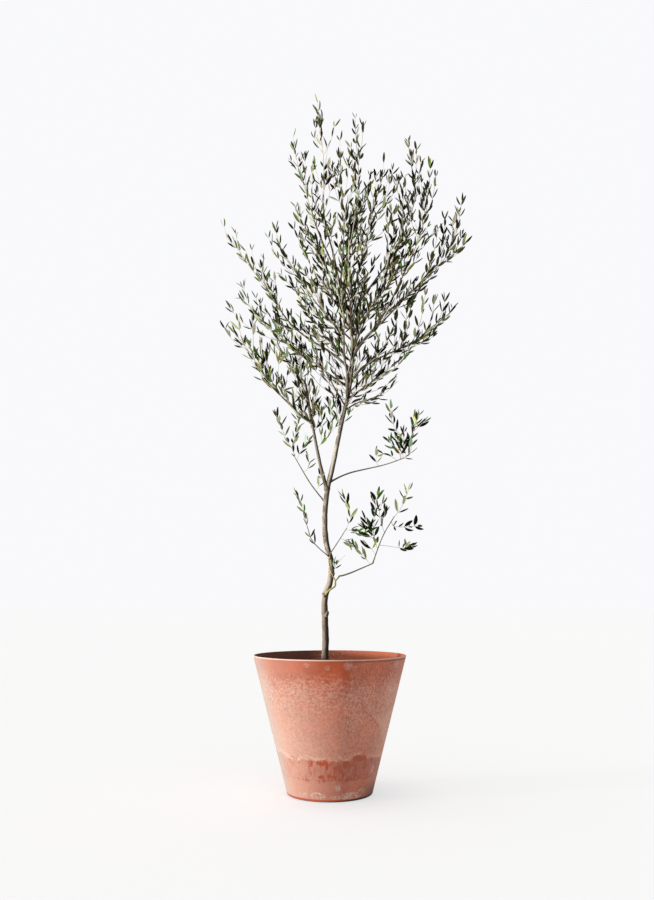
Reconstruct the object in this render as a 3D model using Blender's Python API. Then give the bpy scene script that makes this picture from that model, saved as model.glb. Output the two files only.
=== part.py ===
"""A young olive tree in a tapered pot: the pot, the soil that fills it, the trunk, its boughs and the
masses of foliage, each an object of its own.

Lengths are metres and +Z is up. The origin is the centre of the pot's flat underside, and the tree's
broad side faces -Y. Limbs are tapering tubes along smooth courses. A mass of foliage is one stem with
side shoots and leaves that branch from it by a seeded rule, joined into one closed body.
"""

import math
import random

import bmesh
import bpy
import numpy as np
from mathutils import Matrix, Vector

for leftover in list(bpy.data.objects):
    bpy.data.objects.remove(leftover, do_unlink=True)

UP = Vector((0, 0, 1))

# Neighbours stand this far apart, so that no two meshes share a face.
GAP = 0.0003

# Pot: a plain cone of cast composite with a thin lip, turned about Z.
POT_HEIGHT = 0.320
POT_RIM_RADIUS = 0.185
POT_GROUND_RADIUS = 0.101
POT_CORNER_RADIUS = 0.005
POT_WALL = 0.0065
POT_FLOOR = 0.010
LIP_WIDTH = 0.0040
LIP_DEPTH = 0.0075
TURNED_SIDES = 44
CORNER_STEPS = 3

# Soil: fills the pot up to this far under the rim.
SOIL_BELOW_RIM = 0.035
SOIL_TOP = POT_HEIGHT - SOIL_BELOW_RIM

# Trunk: a slender stem, cut flat where it stands on the soil, that kinks at its lowest branches and
# leans right as it rises. The points are where it bends.
TRUNK_FOOT = SOIL_TOP + GAP
TRUNK_FOOT_RADIUS = 0.0082
TRUNK_TIP_RADIUS = 0.0034
ROOT_FLARE = 0.0055
ROOT_FLARE_HEIGHT = 0.014
TRUNK_SIDES = 10
TRUNK_SPAN = 0.036
TRUNK_COURSE = (
    (-0.013, 0.000, TRUNK_FOOT),
    (-0.010, 0.002, 0.360),
    (-0.012, 0.003, 0.452),
    (0.001, -0.002, 0.496),
    (0.004, -0.004, 0.540),
    (-0.008, -0.002, 0.590),
    (-0.012, 0.002, 0.650),
    (-0.006, 0.003, 0.720),
    (0.009, 0.000, 0.788),
    (0.031, -0.004, 0.896),
    (0.050, -0.002, 0.980),
    (0.060, 0.003, 1.085),
    (0.047, 0.006, 1.192),
    (0.020, 0.003, 1.290),
    (0.010, 0.000, 1.345),
)

# Limbs, as name: (parent, height where it leaves the parent, radius at its foot, radius at its tip,
# the points it passes through). The last point is its tip.
LIMB_SIDES = 6
LIMB_SPAN = 0.028
LIMBS = {
    "left_bough": ("trunk", 0.722, 0.0056, 0.0042, (-0.024, -0.006, 0.788), (-0.047, -0.016, 0.906)),
    "right_low_branch_inner": ("trunk", 0.472, 0.003, 0.0022,
        (0.026, -0.01, 0.506), (0.105, -0.02, 0.539)),
    "right_low_branch_outer": ("right_low_branch_inner", 0.539, 0.0021, 0.0016,
        (0.13, -0.022, 0.604), (0.16, -0.02, 0.655)),
    "low_left_branch": ("trunk", 0.56, 0.0022, 0.0015, (-0.04, -0.01, 0.592), (-0.056, -0.016, 0.632)),
    "inner_right_twig": ("trunk", 0.556, 0.0022, 0.0016, (0.02, -0.022, 0.592), (0.042, -0.032, 0.625)),
    "left_mid_branch": ("trunk", 0.69, 0.0026, 0.0017, (-0.048, 0.012, 0.74), (-0.088, 0.02, 0.808)),
    "right_arm": ("trunk", 0.742, 0.0028, 0.0018,
        (0.05, 0.012, 0.767), (0.136, 0.016, 0.788), (0.19, 0.012, 0.806)),
    "left_low_limb": ("left_bough", 0.892, 0.0036, 0.0026, (-0.07, -0.03, 0.904), (-0.1, -0.04, 0.933)),
    "left_inner_limb": ("left_bough", 0.88, 0.0034, 0.0026, (-0.052, 0.01, 0.925), (-0.06, 0.028, 0.972)),
    "left_mid_limb": ("trunk", 0.985, 0.0036, 0.0026, (0.006, 0.028, 1.022), (-0.034, 0.042, 1.058)),
    "left_long_limb": ("trunk", 1.03, 0.0036, 0.0026, (0.01, -0.01, 1.07), (-0.05, -0.02, 1.106)),
    "right_low_limb": ("trunk", 1.0, 0.0036, 0.0026, (0.084, 0.01, 1.04), (0.116, 0.016, 1.062)),
    "right_mid_limb": ("trunk", 1.07, 0.004, 0.003, (0.096, -0.01, 1.118), (0.142, -0.022, 1.16)),
    "right_outer_limb": ("right_mid_limb", 1.14, 0.0028, 0.0024,
        (0.15, -0.04, 1.19), (0.166, -0.05, 1.22)),
    "right_upper_limb": ("trunk", 1.15, 0.0036, 0.0026, (0.076, 0.02, 1.216), (0.112, 0.032, 1.272)),
    "front_limb": ("trunk", 0.96, 0.0034, 0.0026, (0.044, -0.044, 1.005), (0.036, -0.08, 1.045)),
    "back_limb": ("trunk", 1.04, 0.0034, 0.0026, (0.062, 0.04, 1.082), (0.068, 0.076, 1.124)),
}

# Masses of foliage, as name: (parent, height where the stem leaves the parent, how far its shoots
# reach, the points that the stem passes through).
MASSES = {
    "leader_foliage": ("trunk", 1.345, 0.08,
        (-0.014, 0.0, 1.453), (-0.016, 0.004, 1.608), (-0.03, 0.0, 1.736)),
    "top_left_foliage": ("trunk", 1.29, 0.095,
        (-0.03, -0.02, 1.4), (-0.062, -0.032, 1.5), (-0.094, -0.04, 1.618)),
    "top_right_foliage": ("trunk", 1.24, 0.1,
        (0.054, 0.02, 1.38), (0.079, 0.024, 1.53), (0.071, 0.014, 1.688)),
    "top_front_foliage": ("trunk", 1.26, 0.105,
        (0.036, -0.07, 1.365), (0.03, -0.106, 1.46), (0.026, -0.116, 1.55)),
    "top_back_foliage": ("trunk", 1.22, 0.11,
        (0.048, 0.08, 1.37), (0.082, 0.122, 1.5), (0.106, 0.136, 1.59)),
    "right_top_foliage": ("trunk", 1.18, 0.105,
        (0.076, -0.04, 1.29), (0.108, -0.06, 1.42), (0.136, -0.068, 1.53)),
    "upper_left_foliage": ("trunk", 1.19, 0.095,
        (-0.006, -0.04, 1.282), (-0.05, -0.056, 1.36), (-0.074, -0.058, 1.42)),
    "left_upper_foliage": ("trunk", 1.11, 0.105,
        (-0.014, 0.018, 1.19), (-0.08, 0.03, 1.29), (-0.128, 0.03, 1.374)),
    "left_long_foliage": ("left_long_limb", 1.106, 0.1,
        (-0.1, -0.03, 1.146), (-0.16, -0.042, 1.23), (-0.254, -0.052, 1.362)),
    "left_mid_foliage": ("left_mid_limb", 1.058, 0.105,
        (-0.1, 0.058, 1.108), (-0.17, 0.07, 1.174), (-0.232, 0.072, 1.246)),
    "left_low_foliage": ("left_low_limb", 0.933, 0.1,
        (-0.15, -0.046, 0.985), (-0.205, -0.054, 1.07), (-0.238, -0.052, 1.112)),
    "left_inner_foliage": ("left_inner_limb", 0.972, 0.11, (-0.09, 0.064, 1.044), (-0.146, 0.108, 1.13)),
    "left_bough_foliage": ("left_bough", 0.906, 0.1, (-0.06, -0.036, 0.975), (-0.112, -0.056, 1.06)),
    "left_centre_foliage": ("trunk", 1.06, 0.11,
        (0.03, -0.04, 1.11), (-0.02, -0.064, 1.18), (-0.06, -0.072, 1.268)),
    "front_low_left_foliage": ("trunk", 0.935, 0.11,
        (0.006, -0.05, 0.985), (-0.034, -0.11, 1.048), (-0.07, -0.15, 1.12)),
    "front_low_foliage": ("front_limb", 1.045, 0.11, (0.034, -0.134, 1.11), (0.026, -0.18, 1.186)),
    "front_right_foliage": ("trunk", 1.085, 0.115,
        (0.092, -0.06, 1.15), (0.134, -0.126, 1.24), (0.156, -0.172, 1.33)),
    "front_left_foliage": ("trunk", 1.14, 0.115,
        (0.01, -0.056, 1.2), (-0.05, -0.124, 1.27), (-0.086, -0.16, 1.342)),
    "front_centre_foliage": ("trunk", 1.12, 0.11,
        (0.052, -0.07, 1.18), (0.046, -0.14, 1.27), (0.05, -0.18, 1.36)),
    "back_foliage": ("back_limb", 1.124, 0.115, (0.08, 0.14, 1.21), (0.092, 0.196, 1.33)),
    "back_left_foliage": ("trunk", 1.05, 0.115,
        (0.014, 0.066, 1.116), (-0.052, 0.14, 1.21), (-0.094, 0.19, 1.31)),
    "back_right_foliage": ("trunk", 1.13, 0.115,
        (0.098, 0.066, 1.2), (0.152, 0.134, 1.304), (0.194, 0.176, 1.404)),
    "back_centre_foliage": ("trunk", 1.17, 0.11,
        (0.02, 0.076, 1.25), (-0.016, 0.134, 1.354), (-0.03, 0.16, 1.44)),
    "back_low_right_foliage": ("trunk", 0.97, 0.105,
        (0.092, 0.06, 1.03), (0.138, 0.118, 1.11), (0.168, 0.15, 1.17)),
    "upper_right_foliage": ("right_upper_limb", 1.272, 0.105,
        (0.186, 0.052, 1.39), (0.23, 0.054, 1.52), (0.222, 0.046, 1.64)),
    "outer_right_foliage": ("right_outer_limb", 1.22, 0.1,
        (0.216, -0.064, 1.33), (0.248, -0.06, 1.43), (0.25, -0.05, 1.5)),
    "right_mid_foliage": ("right_mid_limb", 1.16, 0.085,
        (0.24, -0.034, 1.262), (0.294, -0.035, 1.314), (0.316, -0.033, 1.37),
        (0.32, -0.03, 1.42)),
    "right_low_foliage": ("right_low_limb", 1.062, 0.1,
        (0.2, 0.022, 1.104), (0.27, 0.022, 1.15), (0.3, 0.02, 1.18)),
    "right_lower_foliage": ("trunk", 0.955, 0.075,
        (0.1, -0.024, 0.99), (0.144, -0.04, 1.02), (0.17, -0.048, 1.04)),
    "low_right_foliage": ("trunk", 0.925, 0.065,
        (0.072, 0.018, 0.95), (0.114, 0.028, 0.966), (0.14, 0.03, 0.986)),
    "left_mid_sprig": ("left_mid_branch", 0.808, 0.055, (-0.118, 0.022, 0.85), (-0.134, 0.02, 0.88)),
    "low_left_sprig": ("low_left_branch", 0.632, 0.05, (-0.07, -0.018, 0.67), (-0.078, -0.018, 0.7)),
    "fork_sprig": ("left_bough", 0.828, 0.045, (-0.014, -0.02, 0.85), (0.0, -0.026, 0.872)),
    "right_arm_sprig": ("right_arm", 0.806, 0.07, (0.206, 0.01, 0.84), (0.208, 0.006, 0.886)),
    "arm_tuft": ("right_arm", 0.786, 0.05, (0.116, -0.004, 0.796), (0.118, -0.008, 0.806)),
    "inner_right_sprig": ("inner_right_twig", 0.625, 0.06, (0.06, -0.038, 0.656), (0.068, -0.04, 0.69)),
    "right_low_sprig": ("right_low_branch_outer", 0.655, 0.055,
        (0.18, -0.018, 0.684), (0.19, -0.016, 0.7)),
    "right_side_sprig": ("right_low_branch_outer", 0.625, 0.045,
        (0.18, -0.032, 0.63), (0.204, -0.036, 0.634)),
    "right_hanging_sprig": ("right_low_branch_outer", 0.58, 0.045,
        (0.16, -0.012, 0.578), (0.186, -0.008, 0.582)),
}

# Stems and shoots. The steps between buds and between leaves are shares of the mass's reach.
TWIG_SIDES = 3
STEM_SPAN = 0.045
STEM_FOOT_RADIUS = 0.0022
STEM_TIP_RADIUS = 0.0010
SHOOT_FOOT_RADIUS = 0.0013
SHOOT_TIP_RADIUS = 0.0009
SHOOT_SPANS = 2
FIRST_SHOOT = 0.40
SHOOT_STEP = 0.65
LAST_SHOOT = 0.35
SHOOT_LEAN = math.radians(40)
SHOOT_RISE = 0.50
SHOOT_LENGTH_AT_FOOT = 1.1
SHOOT_LENGTH_LOST = 0.5

# Leaves: larger and fewer than a real olive's, so that the crown is as full as the real one.
LEAF_LENGTH = 0.062
LEAF_SLENDERNESS = 0.23
LEAF_THICKNESS = 0.0020
LEAF_BELLY = 0.45
LEAF_NECK = 0.08
LEAF_LEAN = math.radians(32)
LEAF_RISE = 0.25
FIRST_LEAVES = 0.36
LEAF_STEP = 0.62
LAST_LEAVES = 0.020
ROOT_DEPTH = 0.0008

# A shoot or leaf is left out where it comes nearer than this to a limb or to another mass's space.
LIMB_CLEARANCE = 0.003
SPACE_MARGIN = 0.004
SAMPLE_STEP = 0.004


def finish(name, colour, roughness):
    """A plain material for one kind of piece."""
    material = bpy.data.materials.new(name)
    material.use_nodes = True
    shader = material.node_tree.nodes["Principled BSDF"]
    shader.inputs["Base Color"].default_value = (*colour, 1)
    shader.inputs["Roughness"].default_value = roughness
    shader.inputs["Metallic"].default_value = 0
    material.diffuse_color = (*colour, 1)
    return material


TERRACOTTA = finish("terracotta_composite", (0.52, 0.20, 0.12), 0.75)
EARTH = finish("potting_soil", (0.07, 0.045, 0.03), 0.95)
BARK = finish("olive_bark", (0.27, 0.24, 0.18), 0.85)
LEAVES = finish("olive_leaf", (0.17, 0.21, 0.13), 0.55)


def add_object(name, bm, material):
    bmesh.ops.recalc_face_normals(bm, faces=bm.faces)
    mesh = bpy.data.meshes.new(name)
    bm.to_mesh(mesh)
    bm.free()
    obj = bpy.data.objects.new(name, mesh)
    obj.data.materials.append(material)
    bpy.context.scene.collection.objects.link(obj)
    return obj


# ---------------------------------------------------------------- pot and soil


def add_turned(name, profile, material):
    """A solid turned about Z from a profile of (radius, height) that starts and ends on the axis."""
    bm = bmesh.new()
    rings = []
    for radius, height in profile:
        turns = [math.tau * side / TURNED_SIDES for side in range(TURNED_SIDES if radius else 1)]
        rings.append([bm.verts.new((radius * math.cos(a), radius * math.sin(a), height)) for a in turns])
    for lower, upper in zip(rings, rings[1:]):
        for side in range(TURNED_SIDES):
            after = side + 1
            corners = (
                lower[side % len(lower)],
                lower[after % len(lower)],
                upper[after % len(upper)],
                upper[side % len(upper)],
            )
            bm.faces.new(dict.fromkeys(corners))
    obj = add_object(name, bm, material)
    obj.data.shade_smooth()
    obj.data.set_sharp_from_angle(angle=math.radians(40))


def pot_radius(height):
    """Radius of the straight outer wall."""
    return POT_GROUND_RADIUS + (POT_RIM_RADIUS - POT_GROUND_RADIUS) * height / POT_HEIGHT


WALL_SLOPE = math.atan2(POT_HEIGHT, POT_RIM_RADIUS - POT_GROUND_RADIUS)
UNDERSIDE_RADIUS = POT_GROUND_RADIUS - POT_CORNER_RADIUS * math.tan(WALL_SLOPE / 2)


def inner_radius(height, clearance):
    """Radius of the inner wall, less a clearance."""
    return pot_radius(height) - (POT_WALL + clearance) / math.sin(WALL_SLOPE)


def pot_profile():
    """Under the pot from the axis, round the bottom corner, up the wall, over the lip and back inside."""
    profile = [(0, 0)]
    for step in range(CORNER_STEPS + 1):
        turn = -math.pi / 2 + WALL_SLOPE * step / CORNER_STEPS
        out = UNDERSIDE_RADIUS + POT_CORNER_RADIUS * math.cos(turn)
        profile.append((out, POT_CORNER_RADIUS * (1 + math.sin(turn))))
    lip_foot = POT_HEIGHT - LIP_DEPTH
    profile.append((POT_RIM_RADIUS, POT_HEIGHT))
    profile.append((POT_RIM_RADIUS - LIP_WIDTH, POT_HEIGHT))
    profile.append((inner_radius(lip_foot, 0), lip_foot))
    profile.append((inner_radius(POT_FLOOR, 0), POT_FLOOR))
    profile.append((0, POT_FLOOR))
    return profile


def soil_profile():
    floor = POT_FLOOR + GAP
    sides = [(inner_radius(height, GAP), height) for height in (floor, SOIL_TOP)]
    return [(0, floor), *sides, (0, SOIL_TOP)]


# ---------------------------------------------------------------- courses and tubes


def smooth_course(points, span):
    """Points about a span apart on a smooth curve through the given ones."""
    knots = [Vector(point) for point in points]
    knots = [2 * knots[0] - knots[1], *knots, 2 * knots[-1] - knots[-2]]
    course = []
    for before, start, end, after in zip(knots, knots[1:], knots[2:], knots[3:]):
        count = max(1, round((end - start).length / span))
        slope_in = (end - before) / 2
        slope_out = (after - start) / 2
        for part in range(count):
            t = part / count
            course.append(
                (2 * t**3 - 3 * t**2 + 1) * start
                + (t**3 - 2 * t**2 + t) * slope_in
                + (3 * t**2 - 2 * t**3) * end
                + (t**3 - t**2) * slope_out
            )
    return [*course, knots[-2]]


def distances_along(course):
    total = [0.0]
    for start, end in zip(course, course[1:]):
        total.append(total[-1] + (end - start).length)
    return total


def along_course(course, distance):
    """The point and the direction at a distance along a course."""
    for start, end in zip(course, course[1:]):
        span = (end - start).length
        if distance < span:
            return start.lerp(end, distance / span), (end - start).normalized()
        distance -= span
    return end.copy(), (end - start).normalized()


def at_height(course, height):
    """Where a course passes a height, or its tip where it ends lower."""
    for start, end in zip(course, course[1:]):
        if start.z <= height <= end.z:
            return start.lerp(end, (height - start.z) / (end.z - start.z))
    return course[-1].copy()


def directions_along(course):
    spans = [(end - start).normalized() for start, end in zip(course, course[1:])]
    inner = [(one + two).normalized() for one, two in zip(spans, spans[1:])]
    return [spans[0], *inner, spans[-1]]


def tapered(course, foot_radius, tip_radius):
    along = distances_along(course)
    return [foot_radius + (tip_radius - foot_radius) * here / along[-1] for here in along]


def tube(course, radii, sides):
    """A tube with flat ends along a course."""
    bm = bmesh.new()
    directions = directions_along(course)
    across = directions[0].orthogonal()
    rings = []
    for point, direction, radius in zip(course, directions, radii):
        across = (across - direction * across.dot(direction)).normalized()
        other = direction.cross(across)
        turns = [math.tau * side / sides for side in range(sides)]
        spokes = [radius * (math.cos(a) * across + math.sin(a) * other) for a in turns]
        rings.append([bm.verts.new(point + spoke) for spoke in spokes])
    bm.faces.new(rings[0][::-1])
    bm.faces.new(rings[-1])
    for lower, upper in zip(rings, rings[1:]):
        for side in range(sides):
            after = (side + 1) % sides
            bm.faces.new((lower[side], lower[after], upper[after], upper[side]))
    return bm


def keep_main_body(bm):
    """Drops every loose scrap and sealed hollow, which are the bodies with fewer points."""
    unseen = set(bm.verts)
    bodies = []
    while unseen:
        front = [unseen.pop()]
        body = set(front)
        while front:
            vert = front.pop()
            neighbours = {edge.other_vert(vert) for edge in vert.link_edges} & unseen
            unseen -= neighbours
            body |= neighbours
            front += neighbours
        bodies.append(body)
    bodies.remove(max(bodies, key=len))
    bmesh.ops.delete(bm, geom=[vert for body in bodies for vert in body], context="VERTS")


def apply_modifiers(obj):
    bpy.context.view_layer.update()
    evaluated = obj.evaluated_get(bpy.context.evaluated_depsgraph_get())
    bm = bmesh.new()
    bm.from_mesh(evaluated.to_mesh())
    evaluated.to_mesh_clear()
    obj.modifiers.clear()
    bmesh.ops.triangulate(bm, faces=bm.faces)
    keep_main_body(bm)
    bm.to_mesh(obj.data)
    bm.free()


# ---------------------------------------------------------------- trunk and limbs

limbs = {}


def add_limb_tube(name, course, radii, sides):
    limbs[name] = {"course": course, "radii": radii, "sides": sides}
    obj = add_object(name, tube(course, radii, sides), BARK)
    obj.data.shade_smooth()
    return obj


def cut_clear(obj, parent):
    """Cuts a foot that starts inside its parent back to a gap from the parent's surface."""
    directions = directions_along(parent["course"])
    grown = list(parent["course"])
    grown[0] = grown[0] - directions[0] * GAP
    grown[-1] = grown[-1] + directions[-1] * GAP
    radii = [radius + GAP for radius in parent["radii"]]
    cutter = add_object("cutter", tube(grown, radii, parent["sides"]), BARK)
    cutter.hide_render = True
    cutter.display_type = "WIRE"
    cut = obj.modifiers.new("clear of parent", "BOOLEAN")
    cut.operation = "DIFFERENCE"
    cut.object = cutter
    apply_modifiers(obj)
    bpy.data.objects.remove(cutter, do_unlink=True)


def add_trunk():
    """The trunk, with a root flare that dies away just above its flat foot."""
    course = smooth_course(TRUNK_COURSE, TRUNK_SPAN)
    foot = course[0]
    course[0:1] = [foot, foot.lerp(course[1], 0.2), foot.lerp(course[1], 0.5)]
    radii = []
    for height, radius in zip(distances_along(course), tapered(course, TRUNK_FOOT_RADIUS, TRUNK_TIP_RADIUS)):
        radii.append(radius + ROOT_FLARE * math.exp(-height / ROOT_FLARE_HEIGHT))
    trunk = add_limb_tube("trunk", course, radii, TRUNK_SIDES)
    for vert in trunk.data.vertices[:TRUNK_SIDES]:
        vert.co.z = TRUNK_FOOT


def add_limb(name, parent, height, foot_radius, tip_radius, *points):
    foot = at_height(limbs[parent]["course"], height)
    course = smooth_course([foot, *points], LIMB_SPAN)
    limb = add_limb_tube(name, course, tapered(course, foot_radius, tip_radius), LIMB_SIDES)
    cut_clear(limb, limbs[parent])


# ---------------------------------------------------------------- foliage


def samples_of(course, step=SAMPLE_STEP):
    """Points a step or less apart along a course."""
    samples = []
    for start, end in zip(course, course[1:]):
        count = math.ceil((end - start).length / step)
        samples += [start.lerp(end, part / count) for part in range(count)]
    return [*samples, course[-1]]


def as_array(points):
    return np.array([tuple(point) for point in points])


def limb_surfaces():
    """Points along every limb's middle, and the limb's radius at each."""
    points = []
    radii = []
    for limb in limbs.values():
        for start, end, radius in zip(limb["course"], limb["course"][1:], limb["radii"]):
            samples = samples_of([start, end])
            points += samples
            radii += [radius] * len(samples)
    return as_array(points), np.array(radii)


def distances_between(points, others):
    apart = as_array(points)[:, None, :] - others[None, :, :]
    return np.sqrt((apart**2).sum(axis=2))


def is_free(points, own_stem, other_stems, reach):
    """True where every point keeps to its own stem's space and clear of the limbs."""
    from_limbs = distances_between(points, limb_points) - limb_radii
    own = distances_between(points, own_stem).min(axis=1)
    other = distances_between(points, other_stems).min(axis=1)
    return from_limbs.min() > LIMB_CLEARANCE and own.max() < reach and (own + SPACE_MARGIN < other).all()


def around(direction, turn):
    """A direction square to the given one, turned about it."""
    level = direction.cross(Vector((1, 0, 0))).normalized()
    return Matrix.Rotation(turn, 3, direction) @ level


def shoot_pairs(stem, reach, dice):
    """The two shoots that each pair of buds could grow: a quarter turn on each time, shorter to the tip."""
    pairs = []
    length = distances_along(stem)[-1]
    turn = dice.uniform(0, math.tau)
    distance = reach * FIRST_SHOOT
    while distance < length - reach * LAST_SHOOT:
        foot, direction = along_course(stem, distance)
        turn += dice.uniform(-0.4, 0.4)
        share = SHOOT_LENGTH_AT_FOOT - SHOOT_LENGTH_LOST * distance / length
        span = reach * share * dice.uniform(0.85, 1.1) / SHOOT_SPANS
        pair = []
        for side in (0, math.pi):
            heading = direction * math.cos(SHOOT_LEAN) + around(direction, turn + side) * math.sin(SHOOT_LEAN)
            shoot = [foot]
            for part in range(SHOOT_SPANS):
                rising = heading.lerp(UP, SHOOT_RISE * (part + 0.5) / SHOOT_SPANS).normalized()
                shoot.append(shoot[-1] + rising * span)
            pair.append(shoot)
        pairs.append(pair)
        turn += math.pi / 2
        distance += reach * SHOOT_STEP * dice.uniform(0.9, 1.1)
    return pairs


def leaf_places(twig, reach, dice):
    """(foot, heading, facing) of each leaf: pairs that turn a quarter each time, and one at the tip."""
    places = []
    length = distances_along(twig)[-1]
    turn = dice.uniform(0, math.tau)
    distance = reach * FIRST_LEAVES * dice.uniform(0.85, 1.15)
    while distance < length - LAST_LEAVES:
        foot, direction = along_course(twig, distance)
        for side in (0, math.pi):
            outward = around(direction, turn + side + dice.uniform(-0.3, 0.3))
            lean = LEAF_LEAN * dice.uniform(0.8, 1.25)
            heading = direction * math.cos(lean) + outward * math.sin(lean) + UP * LEAF_RISE
            places.append((foot, heading.normalized(), direction))
        turn += math.pi / 2
        distance += reach * LEAF_STEP * dice.uniform(0.9, 1.1)
    foot, direction = along_course(twig, length)
    places.append((foot, direction, around(direction, turn)))
    return places


def leaf_corners(foot, heading, facing, length):
    """A leaf's base, tip, two edges and keel: a slim blade of six faces, flat above."""
    across = heading.cross(facing).normalized()
    under = heading.cross(across)
    base = foot - heading * ROOT_DEPTH
    tip = foot + heading * length
    belly = foot + heading * length * LEAF_BELLY
    half_width = across * length * LEAF_SLENDERNESS / 2
    return [base, tip, belly + half_width, belly - half_width, belly + under * LEAF_THICKNESS]


def leaf_blade(corners):
    bm = bmesh.new()
    base, tip, right, left, keel = [bm.verts.new(corner) for corner in corners]
    for end in (base, tip):
        for one, two in ((right, left), (left, keel), (keel, right)):
            bm.faces.new((end, one, two))
    return bm


def leaf_samples(corners):
    """Points over a leaf, less its root, which lies in the twig that carries it."""
    base, tip, *middle = corners
    neck = base.lerp(tip, LEAF_NECK)
    return [point for edge in middle for point in samples_of([neck, edge, tip])]


def twigs_and_leaves(name, reach, dice):
    """A stem's shoots and all its leaves, less those that would leave its space or touch a limb."""
    own_stem = as_array(samples_of(stems[name]))
    others = [stem for other, stem in stems.items() if other != name]
    other_stems = as_array([point for stem in others for point in samples_of(stem)])
    twigs = [stems[name]]
    for pair in shoot_pairs(stems[name], reach, dice):
        # The first samples lie in the stem that carries the shoot.
        free = [shoot for shoot in pair if is_free(samples_of(shoot)[2:], own_stem, other_stems, reach)]
        twigs += free[:1]
    leaves = []
    for twig in twigs:
        for foot, heading, facing in leaf_places(twig, reach, dice):
            length = min(LEAF_LENGTH, reach) * dice.uniform(0.85, 1.1)
            corners = leaf_corners(foot, heading, facing, length)
            if is_free(leaf_samples(corners), own_stem, other_stems, reach + LEAF_LENGTH):
                leaves.append(corners)
    return twigs[1:], leaves


def add_mass(name, parent, reach, seed):
    """One mass of foliage, joined into one closed body."""
    shoots, leaves = twigs_and_leaves(name, reach, random.Random(seed))
    radii = tapered(stems[name], STEM_FOOT_RADIUS, STEM_TIP_RADIUS)
    mass = add_object(name, tube(stems[name], radii, TWIG_SIDES), LEAVES)
    cut_clear(mass, limbs[parent])
    pieces = [leaf_blade(corners) for corners in leaves]
    for shoot in shoots:
        pieces.append(tube(shoot, tapered(shoot, SHOOT_FOOT_RADIUS, SHOOT_TIP_RADIUS), TWIG_SIDES))
    joined = bpy.data.collections.new(name + "_pieces")
    bpy.context.scene.collection.children.link(joined)
    for bm in pieces:
        piece = add_object(name + "_piece", bm, LEAVES)
        bpy.context.scene.collection.objects.unlink(piece)
        joined.objects.link(piece)
    join = mass.modifiers.new("join", "BOOLEAN")
    join.operation = "UNION"
    join.operand_type = "COLLECTION"
    join.collection = joined
    apply_modifiers(mass)
    for piece in list(joined.objects):
        bpy.data.objects.remove(piece, do_unlink=True)
    bpy.data.collections.remove(joined)


add_turned("pot", pot_profile(), TERRACOTTA)
add_turned("soil", soil_profile(), EARTH)
add_trunk()
for name, limb in LIMBS.items():
    add_limb(name, *limb)
limb_points, limb_radii = limb_surfaces()
stems = {}
for name, (parent, height, reach, *points) in MASSES.items():
    stems[name] = smooth_course([at_height(limbs[parent]["course"], height), *points], STEM_SPAN)
for seed, (name, (parent, height, reach, *points)) in enumerate(MASSES.items()):
    add_mass(name, parent, reach, seed)
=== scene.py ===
import math
import random

import bmesh
import bpy
import numpy as np
from mathutils import Matrix, Vector, kdtree, noise


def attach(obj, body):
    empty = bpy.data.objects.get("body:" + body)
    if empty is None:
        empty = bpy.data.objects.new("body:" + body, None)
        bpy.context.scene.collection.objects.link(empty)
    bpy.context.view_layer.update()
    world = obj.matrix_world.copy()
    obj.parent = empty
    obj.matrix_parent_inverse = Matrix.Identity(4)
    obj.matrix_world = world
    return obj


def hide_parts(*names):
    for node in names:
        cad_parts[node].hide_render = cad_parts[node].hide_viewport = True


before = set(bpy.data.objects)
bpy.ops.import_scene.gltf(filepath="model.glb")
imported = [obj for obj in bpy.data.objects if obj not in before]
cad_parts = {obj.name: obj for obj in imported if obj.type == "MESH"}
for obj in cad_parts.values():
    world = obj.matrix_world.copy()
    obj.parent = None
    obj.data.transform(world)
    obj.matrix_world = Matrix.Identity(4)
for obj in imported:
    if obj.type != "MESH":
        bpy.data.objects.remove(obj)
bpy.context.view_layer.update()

# ------------------------------------------------------------------------------------------------ pot
# A plain tapered planter, cast in one piece from stone powder and resin and coloured like terracotta.
# The wall thins to a 4 mm lip. Water has left a pale bloom, a tide mark, drips and crusts of lime on it.

pot_height = 0.320
rim_radius = 0.185
ground_radius = 0.101
corner_radius = 0.005
wall = 0.0065
floor_thickness = 0.010
lip_width = 0.0040
lip_depth = 0.0075
lip_round = 0.0017
pot_sides = 240
wall_unevenness = 0.00025
wall_slope = math.atan2(pot_height, rim_radius - ground_radius)


def outer_radius(height):
    return ground_radius + (rim_radius - ground_radius) * height / pot_height


def inner_radius(height):
    return outer_radius(height) - wall / math.sin(wall_slope)


def arc(centre, radius, start, end, steps):
    """Points (radius, height) on an arc of the profile, with both ends."""
    turns = [start + (end - start) * step / steps for step in range(steps + 1)]
    return [(centre[0] + radius * math.cos(turn), centre[1] + radius * math.sin(turn)) for turn in turns]


def stretch(start, end, steps):
    """Points between two profile points, without either."""
    shares = [step / steps for step in range(1, steps)]
    return [tuple(a + (b - a) * share for a, b in zip(start, end)) for share in shares]


def add_piece(name, vertices, faces, materials, slots=None, smooth=True):
    """A mesh object from lists of points and faces. slots gives each face its material."""
    mesh = bpy.data.meshes.new(name)
    mesh.from_pydata(vertices, [], faces)
    for material in materials:
        mesh.materials.append(material)
    if slots is not None:
        mesh.polygons.foreach_set("material_index", slots)
    mesh.update()
    if smooth:
        mesh.shade_smooth()
    piece = bpy.data.objects.new(name, mesh)
    bpy.context.scene.collection.objects.link(piece)
    return piece


def turned_faces(rings, sides, first=0):
    """Quads between neighbouring rings of points, numbered ring by ring from the first."""
    faces = []
    for ring in range(rings - 1):
        for side in range(sides):
            after = (side + 1) % sides
            low = first + ring * sides
            faces.append((low + side, low + after, low + sides + after, low + sides + side))
    return faces


def new_material(name, roughness, specular=0.5):
    material = bpy.data.materials.new(name)
    material.use_nodes = True
    shader = material.node_tree.nodes["Principled BSDF"]
    shader.inputs["Roughness"].default_value = roughness
    shader.inputs["Specular IOR Level"].default_value = specular
    return material


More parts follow.
